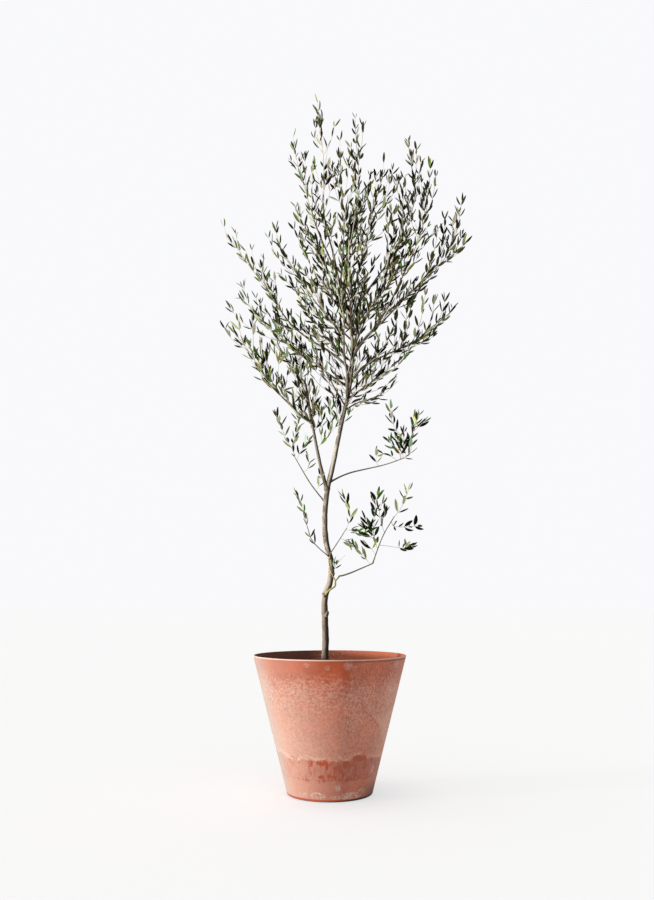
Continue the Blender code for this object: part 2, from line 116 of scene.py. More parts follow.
def node(kind, inputs=None, output=0, tree=None, **settings):
    """Adds a shader node beside the sockets that feed it. Without any, tree says where it goes."""
    if tree is None:
        tree = next(value.id_data for value in inputs.values() if isinstance(value, bpy.types.NodeSocket))
    made = tree.nodes.new("ShaderNode" + kind)
    for setting, value in settings.items():
        setattr(made, setting, value)
    for socket, value in (inputs or {}).items():
        if isinstance(value, bpy.types.NodeSocket):
            tree.links.new(value, made.inputs[socket])
        else:
            made.inputs[socket].default_value = value
    return made.outputs[output]


def place(material):
    """The point on the surface, in metres, in the plant's own frame."""
    return node("TexCoord", output=3, tree=material.node_tree)


def maths(operation, first, second=0.0, third=0.0):
    return node("Math", {0: first, 1: second, 2: third}, operation=operation)


def fade(value, start, end, low=0.0, high=1.0):
    """low before start, high after end, and a smooth change between them."""
    if start > end:
        start, end, low, high = end, start, high, low
    limits = {"Value": value, "From Min": start, "From Max": end, "To Min": low, "To Max": high}
    return node("MapRange", limits, interpolation_type="SMOOTHSTEP")


def mottle(material, size, detail=2.0, roughness=0.5, squash=(1, 1, 1), shift=(0, 0, 0), warp=0.0):
    """Noise from 0 to 1 whose blotches are about this size. squash stretches them along an axis."""
    scales = tuple(1 / (size * part) for part in squash)
    moved = node("Mapping", {"Vector": place(material), "Scale": scales, "Location": shift})
    knobs = {"Vector": moved, "Scale": 1.0, "Detail": detail, "Roughness": roughness, "Distortion": warp}
    return node("TexNoise", knobs)


def mix_colour(share, first, second):
    colours = [part if isinstance(part, bpy.types.NodeSocket) else (*part, 1) for part in (first, second)]
    return node("Mix", {0: share, 6: colours[0], 7: colours[1]}, output=2, data_type="RGBA")


def finish(material, colour=None, roughness=None, relief=None, depth=0.001):
    """Feeds the shader: its colour, its roughness, and a relief of the given depth in metres."""
    tree = material.node_tree
    shader = tree.nodes["Principled BSDF"]
    if colour is not None:
        tree.links.new(colour, shader.inputs["Base Color"])
    if roughness is not None:
        tree.links.new(roughness, shader.inputs["Roughness"])
    if relief is not None:
        bump = node("Bump", {"Height": relief, "Distance": depth, "Strength": 1.0})
        tree.links.new(bump, shader.inputs["Normal"])


def swatch(red, green, blue):
    """A colour by its values out of 255, as a paint card gives them."""
    parts = [value / 255 for value in (red, green, blue)]
    return tuple(part / 12.92 if part <= 0.04045 else ((part + 0.055) / 1.055) ** 2.4 for part in parts)


clean_clay = (0.430, 0.082, 0.028)
dark_clay = (0.350, 0.068, 0.027)
lit_clay = (0.700, 0.200, 0.105)
dull_clay = (0.300, 0.085, 0.055)
shadow_clay = (0.120, 0.045, 0.032)
bloom_colour = (0.700, 0.500, 0.400)
painted_sheen_colour = (0.430, 0.400, 0.370)
painted_shadow_colour = (0.040, 0.022, 0.018)
lime_colour = (0.800, 0.640, 0.540)
lip_highlight_colour = (0.860, 0.640, 0.520)

# Heights on the wall: single ones, then pairs that bound a mark, or between which it fades.
band_foot = 0.290
blotch_foot = 0.205
tide_height = 0.0935
ring_height = 0.0505
lower_wall = (0.235, 0.100)
bare_foot = (0.054, 0.044)
few_speckles = (0.056, 0.046)
scratched_wall = (0.10, 0.24)
arc_wall = (0.150, 0.215)
film_wall = (0.110, 0.195)
lime_wall = (0.150, 0.100)
shaded_foot_heights = (0.060, 0.004)
rubbed_edge = (0.0025, 0.0060)
contact_shadow_heights = (0.0030, 0.0012)
lip_highlight_heights = (0.3170, 0.3180)
lip_shade_band = (0.3130, 0.3162)
# Old tide arcs: their turn about the pot, how they slope, and the heights of the dark line and the film.
arc_turns = (0.46, 0.95)
arc_slope = 0.135
arc_line = (0.2790, 0.2822)
arc_film = (0.280, 0.292)
# Marks on the front: each one's turn about the pot from the middle, its height, and half its extents.
flaked_marks = (
    (-0.358, 0.0890, 0.045, 0.0105),
    (-0.156, 0.0905, 0.105, 0.0070),
    (-0.055, 0.0830, 0.030, 0.0090),
    (-0.176, 0.0577, 0.055, 0.0042),
    (0.563, 0.0985, 0.150, 0.0075),
    (0.290, 0.0850, 0.055, 0.0080),
    (-0.700, 0.0975, 0.080, 0.0040),
)
lime_marks = (
    (-0.263, 0.0140, 0.170, 0.0085),
    (0.166, 0.0320, 0.060, 0.0070),
    (0.490, 0.0130, 0.260, 0.0090),
    (0.980, 0.0680, 0.050, 0.0100),
    (0.215, 0.3060, 0.050, 0.0090),
    (1.030, 0.3060, 0.060, 0.0100),
    (1.000, 0.2430, 0.045, 0.0120),
    (-0.620, 0.0150, 0.120, 0.0060),
    (0.120, 0.0110, 0.120, 0.0050),
    (0.760, 0.0200, 0.110, 0.0080),
    (-0.290, 0.3080, 0.040, 0.0050),
    (-0.030, 0.3020, 0.035, 0.0060),
)


def plus(first, *terms):
    for term in terms:
        first = maths("ADD", first, term)
    return first


def times(first, *factors):
    for factor in factors:
        first = maths("MULTIPLY", first, factor)
    return first


def times_plus(value, factor, term):
    return maths("MULTIPLY_ADD", value, factor, term)


def within(value, low, high, edge):
    """1 between low and high, with soft edges."""
    return times(fade(value, low - edge, low + edge), fade(value, high + edge, high - edge))


def marks(places, turn, height, ragged):
    """A mask of the blots at these places, with ragged edges."""
    mask = 0.0
    for middle, level, half_turn, half_height in places:
        sideways = maths("POWER", times_plus(turn, 1 / half_turn, -middle / half_turn), 2)
        upwards = maths("POWER", times_plus(height, 1 / half_height, -level / half_height), 2)
        away = plus(sideways, upwards, ragged)
        mask = maths("MAXIMUM", mask, fade(away, 1.12, 0.88))
    return mask


def clay(name, inside):
    """Cast composite. Outside it has a clean band under the rim and the marks that watering leaves."""
    material = new_material(name, 0.8, 0.18)
    across, deep, height = [node("SeparateXYZ", {0: place(material)}, output=part) for part in range(3)]
    turn = maths("ARCTAN2", across, times(deep, -1.0))
    side = maths("SINE", turn)
    broad = mottle(material, 0.045, 3, shift=(3, 1, 7))
    wavy = times_plus(mottle(material, 0.02, 3), 0.20, side)
    roughened = times(fade(wavy, 0.28, 0.36), fade(deep, 0.02, -0.02))
    blotches = mottle(material, 0.0052, 2, 0.6, squash=(1.3, 1.3, 0.9), shift=(3, 8, 1), warp=0.7)
    speckle = mottle(material, 0.0056, 4, 0.7, warp=0.5)
    scratch = mottle(material, 0.0048, 5, 0.9, squash=(0.8, 0.8, 1.2), shift=(5, 2, 1), warp=1.6)
    drips = mottle(material, 0.0065, 2, 0.5, squash=(0.8, 0.8, 8), shift=(1, 4, 2))
    grain = mottle(material, 0.0011, 2)
    if inside:
        # The back is bleached in streaks that run round the pot. Its right is painted lit and its left
        # painted in shade.
        smears = mottle(material, 0.004, 4, 0.7, squash=(1.6, 1.6, 0.9), warp=1.0)
        colour = mix_colour(fade(smears, 0.44, 0.62, 0.0, 0.55), clean_clay, bloom_colour)
        colour = mix_colour(fade(side, -0.05, 0.45, 0, 0.75), colour, lit_clay)
        colour = mix_colour(fade(side, 0.05, -0.35, 0, 0.9), colour, shadow_clay)
        finish(material, colour, None, grain, 0.0003)
        return material
    # The bloom starts under the clean band and thickens downwards. Its growth to the left and its rise at the
    # far right edge are painted sheen, and its thinning on the right is painted shade.
    ragged = plus(times_plus(broad, 0.036, height), -0.018)
    bloom = plus(
        fade(ragged, band_foot + 0.006, band_foot - 0.050, 0.0, 0.25),
        fade(height, *lower_wall, 0, 0.10),
        fade(height, *bare_foot, 0, -0.10),
        times(maths("MINIMUM", side, 0.0), -0.37),
        fade(side, 0.05, 0.32, 0, -0.11),
        fade(side, 0.65, 0.97, 0, 0.20),
    )
    # The tide mark: a scalloped line with a pale crust over it, and barer clay with drips under it.
    scallop = times_plus(mottle(material, 0.018, 2, shift=(2, 9, 4)), 0.018, -0.009)
    lifted = times(within(turn, 0.42, 0.74, 0.10), -0.007)
    tilted = plus(fade(turn, -0.7, -1.4, 0, -0.010), fade(turn, 0.85, 1.3, 0, 0.007))
    tide = plus(height, scallop, lifted, tilted)
    under = times(
        fade(tide, tide_height + 0.0018, tide_height - 0.0012),
        fade(times_plus(drips, 0.022, height), ring_height + 0.004, ring_height + 0.014),
    )
    crust = within(tide, tide_height + 0.002, tide_height + 0.009, 0.003)
    streaks = times(under, fade(drips, 0.50, 0.60))
    ring = within(times_plus(scallop, 0.4, height), ring_height - 0.0012, ring_height + 0.0008, 0.0010)
    bloom = plus(
        bloom,
        times(under, fade(side, -0.8, 0.1, -0.10, -0.17)),
        times(streaks, -0.15),
        times(crust, fade(speckle, 0.36, 0.58), fade(side, 0.9, -0.6, 0.10, 0.22)),
        times(ring, -0.14),
    )
    # Blotches under the band turn to speckles lower down. The right has scratchy crust instead.
    blotched = times(within(ragged, blotch_foot, band_foot - 0.004, 0.020), maths("SUBTRACT", 1.0, roughened))
    speckled = plus(
        fade(ragged, band_foot + 0.004, band_foot - 0.020, 0.08, 0.85),
        times(under, -0.35),
        fade(height, *few_speckles, 0, -0.45),
    )
    bloom = plus(
        bloom,
        times(fade(blotches, 0.38, 0.60, -0.11, 0.13), blotched),
        times(plus(speckle, -0.5), speckled),
        times(fade(scratch, 0.42, 0.56, -0.16, 0.42), roughened, fade(height, *scratched_wall, 0.2, 1.0)),
    )
    # Two old tide arcs on the right: a dark line, with a pale film outside it.
    arc_place = plus(times_plus(turn, arc_slope, height), times_plus(broad, 0.020, -0.010))
    arc_zone = times(within(turn, *arc_turns, 0.06), within(height, *arc_wall, 0.012))
    dark_arc = times(within(arc_place, *arc_line, 0.0016), arc_zone)
    film = times(fade(arc_place, *arc_film), within(height, *film_wall, 0.020))
    bloom = plus(bloom, times(dark_arc, -0.22), times(film, 0.12))
    flaked = marks(flaked_marks, turn, height, times_plus(speckle, 0.9, -0.45))
    bloom = node("Clamp", {0: times_plus(flaked, -0.24, bloom)})
    clean = mix_colour(fade(broad, 0.35, 0.65), clean_clay, dark_clay)
    clean = mix_colour(times(under, fade(side, -0.1, 0.4), 0.6), clean, dull_clay)
    colour = mix_colour(bloom, clean, bloom_colour)
    # The far left edge is paled by painted sheen.
    colour = mix_colour(fade(side, -0.72, -1.0, 0, 0.55), colour, painted_sheen_colour)
    # Lime has dried in thin curling lines near the foot and on the right.
    curl = mottle(material, 0.0088, 4, 0.66, shift=(4, 4, 0), warp=2.4)
    line = fade(maths("ABSOLUTE", plus(curl, -0.5)), 0.050, 0.018)
    crusted = marks(lime_marks, turn, height, times_plus(speckle, 1.2, -0.6))
    lime = times(line, crusted, fade(height, *lime_wall, 0.40, 1.0))
    colour = mix_colour(times(lime, 0.85), colour, lime_colour)
    # Painted shade darkens the foot on the right, and the foot's edge is rubbed clean.
    darkening = times(fade(side, 0.45, 1.0), fade(height, *shaded_foot_heights))
    colour = mix_colour(times(darkening, 0.9), colour, shadow_clay)
    colour = mix_colour(within(height, *rubbed_edge, 0.0012), colour, clean_clay)
    # Painted shadow darkens the underside of the foot's edge, reaching higher on the right.
    contact_shadow_level = plus(height, fade(side, -0.2, 0.8, 0, -0.0040))
    colour = mix_colour(fade(contact_shadow_level, *contact_shadow_heights, 0, 0.95), colour, painted_shadow_colour)
    # A painted highlight pales the rounded lip, most on the left, over a fine line of painted shade on the
    # right.
    lip_highlight = times(fade(height, *lip_highlight_heights), fade(side, 0.35, -0.30, 0.45, 0.9))
    colour = mix_colour(lip_highlight, colour, lip_highlight_colour)
    # The fine line under the lip on the right is painted shade.
    lip_shade = times(within(height, *lip_shade_band, 0.0008), fade(side, -0.05, 0.35))
    colour = mix_colour(times(lip_shade, 0.6), colour, shadow_clay)
    gloss = fade(bloom, 0.0, 0.4, 0.50, 0.85)
    relief = plus(
        times(scratch, roughened, 1.2),
        times(grain, 0.4),
        times(lime, 0.8),
        times(blotches, blotched, 0.6),
    )
    finish(material, colour, gloss, relief, 0.0004)
    return material


lip_inner = rim_radius - lip_width
outline = [(0, 0), (ground_radius - 0.012, 0)]
underside = ground_radius - corner_radius * math.tan(wall_slope / 2)
corner = (underside, corner_radius)
outline += arc(corner, corner_radius, -math.pi / 2, wall_slope - math.pi / 2, 6)
lip_centre = (rim_radius - lip_round, pot_height - lip_round)
rim_edge = arc(lip_centre, lip_round, wall_slope - math.pi / 2, math.pi / 2, 5)
outline += stretch(outline[-1], rim_edge[0], 30) + rim_edge
outside_rings = len(outline)
outline += arc((lip_inner + lip_round, pot_height - lip_round), lip_round, math.pi / 2, math.pi, 4)
lip_foot = (inner_radius(pot_height - lip_depth), pot_height - lip_depth)
inner_floor = (inner_radius(floor_thickness), floor_thickness)
outline += [lip_foot, *stretch(lip_foot, inner_floor, 16), inner_floor, (0, floor_thickness)]

pot_points = []
for radius, height in outline:
    for side in range(pot_sides):
        turn = math.tau * side / pot_sides
        spot = Vector((math.cos(turn), math.sin(turn), height / 0.1))
        uneven = noise.noise(spot * 1.7) * wall_unevenness if 0.02 < height < pot_height - 0.01 else 0
        pot_points.append(((radius + uneven) * math.cos(turn), (radius + uneven) * math.sin(turn), height))
pot_faces = turned_faces(len(outline), pot_sides)
pot_slots = [int(face // pot_sides >= outside_rings + 1) for face in range(len(pot_faces))]
pot_finishes = [clay("terracotta", False), clay("terracotta_inside", True)]
pot = add_piece("planter", pot_points, pot_faces, pot_finishes, pot_slots)


def close_up(piece, distance=1e-6):
    """Welds the points that meet on the axis, and turns every face outwards."""
    bm = bmesh.new()
    bm.from_mesh(piece.data)
    bmesh.ops.remove_doubles(bm, verts=bm.verts, dist=distance)
    bmesh.ops.recalc_face_normals(bm, faces=bm.faces)
    bm.to_mesh(piece.data)
    bm.free()


close_up(pot)
pot.data.set_sharp_from_angle(angle=math.radians(50))
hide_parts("pot")
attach(pot, "root")

# ------------------------------------------------------------------------------------------------ soil
# Moist potting mix of peat, composted bark and a little pumice. It was tipped in and pressed down by
# hand, so it is crumbly, a little higher round the trunk, and strewn with lumps and chips.

soil_top = 0.285 - 0.004
soil_floor = floor_thickness + 0.0004
soil_edge = 0.0008
mound = 0.007
mound_reach = 0.035
crumb_height = 0.004
crumbs_across = 55
trunk_spot = Vector((-0.013, 0.0, 0.0))
soil_rings = 56
soil_sides = 150


def soil_height(x, y):
    spot = Vector((x, y, 0))
    rise = mound * math.exp(-(((spot - trunk_spot).length / mound_reach) ** 2))
    crumbs = crumb_height * noise.fractal(spot * crumbs_across, 0.9, 2.1, 4)
    return soil_top + rise + crumbs


soil_points = []
for ring in range(soil_rings + 1):
    for side in range(soil_sides):
        turn = math.tau * side / soil_sides
        radius = (inner_radius(soil_top) - soil_edge) * ring / soil_rings
        x = radius * math.cos(turn)
        y = radius * math.sin(turn)
        soil_points.append((x, y, soil_height(x, y) if ring else soil_height(0, 0)))
for radius in (inner_radius(soil_floor) - soil_edge, 0):
    for side in range(soil_sides):
        turn = math.tau * side / soil_sides
        soil_points.append((radius * math.cos(turn), radius * math.sin(turn), soil_floor))

earth = new_material("potting_mix", 0.95, 0.2)
crumb = mottle(earth, 0.004, 4, 0.7)
darkening = mottle(earth, 0.03, 2)
earth_colour = mix_colour(fade(crumb, 0.35, 0.7), swatch(38, 28, 20), swatch(92, 68, 48))
earth_colour = mix_colour(fade(darkening, 0.4, 0.7, 0, 0.5), earth_colour, swatch(48, 36, 27))
finish(earth, earth_colour, None, crumb, 0.002)
soil = add_piece("potting_soil", soil_points, turned_faces(soil_rings + 3, soil_sides), [earth])
close_up(soil)
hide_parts("soil")
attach(soil, "root")


def mottled(name, roughness, specular, size, detail, dark, light, relief=0.0):
    """A finish whose colour wanders between two tones, over a fine relief where one is given."""
    material = new_material(name, roughness, specular)
    tone = mix_colour(mottle(material, size, detail), swatch(*dark), swatch(*light))
    finish(material, tone, None, mottle(material, 0.001, 2) if relief else None, relief)
    return material


chip_brown = mottled("bark_chip", 0.9, 0.2, 0.003, 2, (70, 48, 33), (128, 95, 66))
pumice = mottled("pumice", 0.95, 0.2, 0.001, 2, (176, 168, 155), (214, 208, 196))

lump_count = 1500
lump_sizes = (0.0012, 0.0036)
chip_shape = (2.0, 0.7, 0.3)
# How often a lump is soil, a chip of bark or pumice.
lump_odds = (8, 3, 1)
lump_dice = random.Random(11)
lump_shape = bmesh.new()
bmesh.ops.create_icosphere(lump_shape, subdivisions=1, radius=1)
lump_corners = [vert.co.copy() for vert in lump_shape.verts]
lump_triangles = [[vert.index for vert in face.verts] for face in lump_shape.faces]
lump_shape.free()
lump_points = []
lump_faces = []
lump_slots = []
for _ in range(lump_count):
    turn = lump_dice.uniform(0, math.tau)
    radius = (inner_radius(soil_top) - 0.006) * math.sqrt(lump_dice.random())
    x = radius * math.cos(turn)
    y = radius * math.sin(turn)
    kind = lump_dice.choices((0, 1, 2), lump_odds)[0]
    size = lump_dice.uniform(*lump_sizes)
    shape = Matrix.Diagonal((1, lump_dice.uniform(0.5, 0.9), lump_dice.uniform(0.3, 0.8)))
    if kind == 1:
        shape = Matrix.Diagonal(chip_shape)
    spin = Matrix.Rotation(lump_dice.uniform(0, math.tau), 3, "Z")
    tumble = spin @ Matrix.Rotation(lump_dice.gauss(0, 0.4), 3, "X")
    first = len(lump_points)
    for corner_point in lump_corners:
        rough = size * lump_dice.uniform(0.75, 1.15)
        lump_points.append(Vector((x, y, soil_height(x, y))) + tumble @ shape @ corner_point * rough)
    lump_faces += [[first + corner_index for corner_index in triangle] for triangle in lump_triangles]
    lump_slots += [kind] * len(lump_triangles)
lump_finishes = [earth, chip_brown, pumice]
lumps = add_piece("soil_lumps", lump_points, lump_faces, lump_finishes, lump_slots, smooth=False)
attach(lumps, "root")

# ------------------------------------------------------------------------------------------------ trunk
# A slender young trunk, as thick as a thumb where it flares into the soil. It kinks at its lowest
# branches and leans right as it rises. The bark is thin, grey-beige and finely fissured along it.

trunk_foot_radius = 0.0085
trunk_tip_radius = 0.0034
root_flare = 0.0055
root_flare_height = 0.014
trunk_sides = 32
trunk_span = 0.003
fissure_depth = 0.00045
knuckle_depth = 0.0009
root_ridge = 0.0016
root_ridges = 3
sunk = 0.006
knot_sides = 14
# Knots where twigs have been pruned: each one's way out of the trunk, and its radii, in millimetres.
knots = (
    (((-10, -2, 410), (-7.2, -2, 417), (-5, -2, 421.5), (-4, -2, 424.5)),
        (5.2, 5.2, 4, 1.6)),
    (((-11, 0, 460), (-15, -2, 464.5), (-18.5, -3, 467.5)),
        (6, 4.6, 2.2)),
    (((4, -4, 535), (10, -9, 540.5), (16.5, -12, 542.5), (21.5, -14, 543)),
        (3, 2.1, 1.8, 1.4)),
    (((2, -3, 548), (1, -9, 553), (2, -12.5, 556.5)),
        (6.6, 4.8, 3)),
    (((4, -4, 508), (9, -6, 514), (11.5, -7, 518)),
        (6, 4, 1.6)),
)
# The trunk's course, in millimetres.
trunk_course = (
    (-13, 0, 285.3), (-10, 2, 360), (-12, 3, 452), (1, -2, 496), (4, -4, 540), (-8, -2, 590),
    (-12, 2, 650), (-6, 3, 720), (9, 0, 788), (31, -4, 896), (50, -2, 980), (60, 3, 1085), (47, 6, 1192),
    (20, 3, 1290), (10, 0, 1345),
)
up = Vector((0, 0, 1))


def in_metres(points):
    """The tables of courses are in millimetres."""
    return [Vector([part / 1000 for part in point]) for point in points]


def smooth_course(points, span):
    """Points about a span apart on a smooth curve through the given ones."""
    posts = [2 * points[0] - points[1], *points, 2 * points[-1] - points[-2]]
    course = []
    for before, start, end, after in zip(posts, posts[1:], posts[2:], posts[3:]):
        count = max(1, round((end - start).length / span))
        slope_in = (end - before) / 2
        slope_out = (after - start) / 2
        for part in range(count):
            t = part / count
            course.append(
                (2 * t**3 - 3 * t**2 + 1) * start
                + (t**3 - 2 * t**2 + t) * slope_in
                + (3 * t**2 - 2 * t**3) * end
                + (t**3 - t**2) * slope_out
            )
    return [*course, posts[-2]]


def distances_along(course):
    total = [0.0]
    for start, end in zip(course, course[1:]):
        total.append(total[-1] + (end - start).length)
    return total


def tapered(course, foot_radius, tip_radius):
    along = distances_along(course)
    return [foot_radius + (tip_radius - foot_radius) * here / along[-1] for here in along]


def directions_along(course):
    spans = [(end - start).normalized() for start, end in zip(course, course[1:])]
    inner = [(one + two).normalized() for one, two in zip(spans, spans[1:])]
    return [spans[0], *inner, spans[-1]]


class Wood:
    """Gathers tubes into one mesh: its points, its faces, and slot 1 for wood that is thinner than young."""

    def __init__(self, young=0.0):
        self.points = []
        self.faces = []
        self.slots = []
        self.young = young

    def add_tube(self, course, radii, sides, relief=None):
        """A closed tube along a course. relief gives the extra radius at a point of the surface."""
        directions = directions_along(course)
        across = directions[0].orthogonal()
        first = len(self.points)
        for centre, direction, radius in zip(course, directions, radii):
            across = (across - direction * across.dot(direction)).normalized()
            other = direction.cross(across)
            for side in range(sides):
                turn = math.tau * side / sides
                spoke = math.cos(turn) * across + math.sin(turn) * other
                extra = relief(centre + spoke * radius, centre, spoke, radius) if relief else 0
                self.points.append(centre + spoke * (radius + extra))
        self.faces += turned_faces(len(course), sides, first)
        for radius in radii[:len(course) - 1]:
            self.slots += [int(radius < self.young)] * sides
        self.slots += [int(radii[0] < self.young), int(radii[-1] < self.young)]
        last = len(self.points) - sides
        self.faces.append(tuple(range(first + sides - 1, first - 1, -1)))
        self.faces.append(tuple(range(last, last + sides)))


def bark_relief(surface, centre, spoke, radius):
    """Fissures run along the wood, over gentle swellings where old leaves fell. Both fade in thin wood."""
    share = min(1.0, radius / trunk_foot_radius)
    along = Vector((surface.x * 480, surface.y * 480, surface.z * 70))
    fissure = abs(noise.fractal(along, 0.8, 2.2, 3))
    swelling = noise.noise(Vector((spoke.x * 0.9 + 7, spoke.y * 0.9, centre.z * 55)))
    return share * (swelling * knuckle_depth - min(fissure, 0.8) * fissure_depth)


old_bark = swatch(164, 146, 124)
pale_bark = swatch(198, 186, 168)
upper_bark = swatch(206, 195, 177)
dark_bark = swatch(82, 66, 52)
splashed_bark = swatch(120, 106, 94)
painted_shade_bark = swatch(48, 34, 24)
# Heights between which the foot and the upper wood differ from the rest.
splashed_foot = (0.470, 0.400)
wider_shade_foot = (0.480, 0.410)
upper_wood = (0.700, 0.820)


def bark(name, tinge, share):
    """Bark with long dark fissures and pale lichen grey. Young wood is greener, shaded wood darker."""
    material = new_material(name, 0.82, 0.3)
    fissures = mottle(material, 0.0022, 4, 0.65, squash=(1, 1, 7), warp=0.5)
    patches = mottle(material, 0.018, 3, shift=(2, 5, 1))
    dots = mottle(material, 0.0025, 1, shift=(9, 1, 4))
    colour = mix_colour(fade(patches, 0.35, 0.68), old_bark, pale_bark)
    colour = mix_colour(fade(fissures, 0.50, 0.30, 0, 0.75), colour, dark_bark)
    colour = mix_colour(fade(dots, 0.68, 0.74, 0, 0.6), colour, pale_bark)
    # Splashes have darkened the foot. Painted shade darkens the side away from the lamp, reaching further
    # round low on the trunk.
    level = node("SeparateXYZ", {0: place(material)}, output=2)
    colour = mix_colour(fade(level, *splashed_foot, 0, 0.55), colour, splashed_bark)
    colour = mix_colour(fade(level, *upper_wood, 0, 0.88), colour, upper_bark)
    if share:
        colour = mix_colour(share, colour, tinge)
    facing = node("SeparateXYZ", {0: node("NewGeometry", output=1, tree=material.node_tree)})
    shaded_side = plus(
        facing,
        times(plus(patches, -0.5), 0.5),
        fade(level, *wider_shade_foot, 0, 0.10),
    )
    colour = mix_colour(fade(shaded_side, -0.30, 0.60, 0, 0.97), colour, painted_shade_bark)
    relief = times_plus(dots, 0.4, fissures)
    finish(material, colour, fade(fissures, 0.3, 0.7, 0.95, 0.7), relief, 0.0004)
    return material


old_bark_finish = bark("olive_bark", None, 0)

limbs = {}
trunk_line = smooth_course(in_metres(trunk_course), trunk_span)
trunk_radii = []
taper = tapered(trunk_line, trunk_foot_radius, trunk_tip_radius)
for height, radius in zip(distances_along(trunk_line), taper):
    trunk_radii.append(radius + root_flare * math.exp(-height / root_flare_height))
limbs["trunk"] = {"course": trunk_line, "radii": trunk_radii}


def trunk_relief(surface, centre, spoke, radius):
    """The bark's relief, with three low root ridges at the foot."""
    low = math.exp(-(centre.z - trunk_line[0].z) / root_flare_height)
    ridges = root_ridge * low * math.cos(root_ridges * math.atan2(spoke.y, spoke.x) + 0.6)
    return bark_relief(surface, centre, spoke, radius) + ridges


trunk_wood = Wood()
sunk_line = [trunk_line[0] - up * sunk, *trunk_line]
trunk_wood.add_tube(sunk_line, [trunk_radii[0], *trunk_radii], trunk_sides, trunk_relief)
for knot_course, knot_radii in knots:
    trunk_wood.add_tube(in_metres(knot_course), [radius / 1000 for radius in knot_radii], knot_sides)
trunk = add_piece("trunk_bark", trunk_wood.points, trunk_wood.faces, [old_bark_finish])
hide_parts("trunk")
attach(trunk, "root")

# ----------------------------------------------------------------------------------------------- boughs
# The boughs leave the trunk over small collars and taper to where their foliage starts. The low
# branches are younger wood, greener and smoother. Each course is the one in the source.

bough_sides = 18
bough_span = 0.004
collar = 0.7
collar_reach = 0.005
# Each bough: its parent, the height where it leaves it, its radii and its course, in millimetres.
boughs = {
    "left_bough": ("trunk", 722, 5, 3.3, (-24, -6, 788), (-47, -16, 906)),
    "right_low_branch_inner": ("trunk", 462, 2.6, 1.4, (-6, -10, 470), (1, -13, 476), (13, -16, 485),
        (14, -17, 497), (19, -18, 503), (24, -18, 509), (27, -18, 509.2), (38, -18, 512), (55, -18, 518),
        (74, -19, 526), (105, -20, 539)),
    "right_low_branch_outer": ("right_low_branch_inner", 539, 1.4, 1, (130, -22, 604), (160, -20, 655)),
    "low_left_branch": ("trunk", 556, 1.5, 1, (-6, -12, 560), (-24, -12, 575), (-44, -12, 597),
        (-56, -16, 632)),
    "inner_right_twig": ("trunk", 556, 1.5, 0.9, (3, -12, 566), (14, -18, 582), (42, -32, 625)),
    "left_mid_branch": ("trunk", 690, 1.9, 1.2, (-48, 12, 740), (-88, 20, 808)),
    "right_arm": ("trunk", 742, 2.2, 1.1, (50, 12, 767), (136, 16, 788), (190, 12, 806)),
    "left_low_limb": ("left_bough", 892, 3.6, 2.6, (-70, -30, 904), (-100, -40, 933)),
    "left_inner_limb": ("left_bough", 880, 3.4, 2.6, (-52, 10, 925), (-60, 28, 972)),
    "left_mid_limb": ("trunk", 985, 3.6, 2.6, (6, 28, 1022), (-34, 42, 1058)),
    "left_long_limb": ("trunk", 1030, 3.6, 2.6, (10, -10, 1070), (-50, -20, 1106)),
    "right_low_limb": ("trunk", 1000, 3.6, 2.6, (84, 10, 1040), (116, 16, 1062)),
    "right_mid_limb": ("trunk", 1070, 4, 3, (96, -10, 1118), (142, -22, 1160)),
    "right_outer_limb": ("right_mid_limb", 1140, 2.8, 2.4, (150, -40, 1190), (166, -50, 1220)),
    "right_upper_limb": ("trunk", 1150, 3.6, 2.6, (76, 20, 1216), (112, 32, 1272)),
    "front_limb": ("trunk", 960, 3.4, 2.6, (44, -44, 1005), (36, -80, 1045)),
    "back_limb": ("trunk", 1040, 3.4, 2.6, (62, 40, 1082), (68, 76, 1124)),
}
young_boughs = (
    "right_low_branch_inner", "right_low_branch_outer", "inner_right_twig",
    "low_left_branch", "left_mid_branch", "right_arm",
)


def at_height(course, height):
    """Where a course passes a height, or its tip where it ends lower."""
    for start, end in zip(course, course[1:]):
        if start.z <= height <= end.z:
            return start.lerp(end, (height - start.z) / (end.z - start.z))
    return course[-1].copy()


def collared(course, radii, parent_radius):
    """Thickens a limb's foot where it comes out of its parent."""
    along = distances_along(course)
    return [
        radius * (1 + collar * math.exp(-max(0, here - parent_radius) / collar_reach))
        for radius, here in zip(radii, along)
    ]


def radius_at(parent, foot):
    nearest = min(range(len(parent["course"])), key=lambda index: (parent["course"][index] - foot).length)
    return parent["radii"][nearest]


young_bark_finish = bark("young_olive_bark", swatch(96, 82, 56), 0.7)
green_bark_finish = bark("green_olive_bark", swatch(176, 172, 96), 0.75)
shaded_bark_finish = bark("shaded_olive_bark", swatch(70, 58, 44), 0.6)
green_reach = 0.062
green_shoot_radius = 0.0011
green_shoot = (
    (14, -17, 497), (9, -18, 507), (3, -18, 520), (-1, -17, 538), (-2, -16, 548), (1, -13, 558),
)
bough_wood = Wood()
for name, (parent, height, foot_radius, tip_radius, *points) in boughs.items():
    foot = at_height(limbs[parent]["course"], height / 1000)
    course = smooth_course([foot, *in_metres(points)], bough_span)
    radii = tapered(course, foot_radius / 1000, tip_radius / 1000)
    limbs[name] = {"course": course, "radii": radii}
    swollen = collared(course, radii, radius_at(limbs[parent], foot))
    first_face = len(bough_wood.slots)
    bough_wood.add_tube(course, swollen, bough_sides, bark_relief)
    # The boughs that aren't young take the shaded copy of the bark, which is painted shade.
    finish_slot = 0 if name in young_boughs else 1
    bough_wood.slots[first_face:] = [finish_slot] * (len(bough_wood.faces) - first_face)
    if name == "right_low_branch_inner":
        green_rings = sum(1 for here in distances_along(course) if here < green_reach)
        bough_wood.slots[first_face:first_face + green_rings * bough_sides] = [2] * green_rings * bough_sides
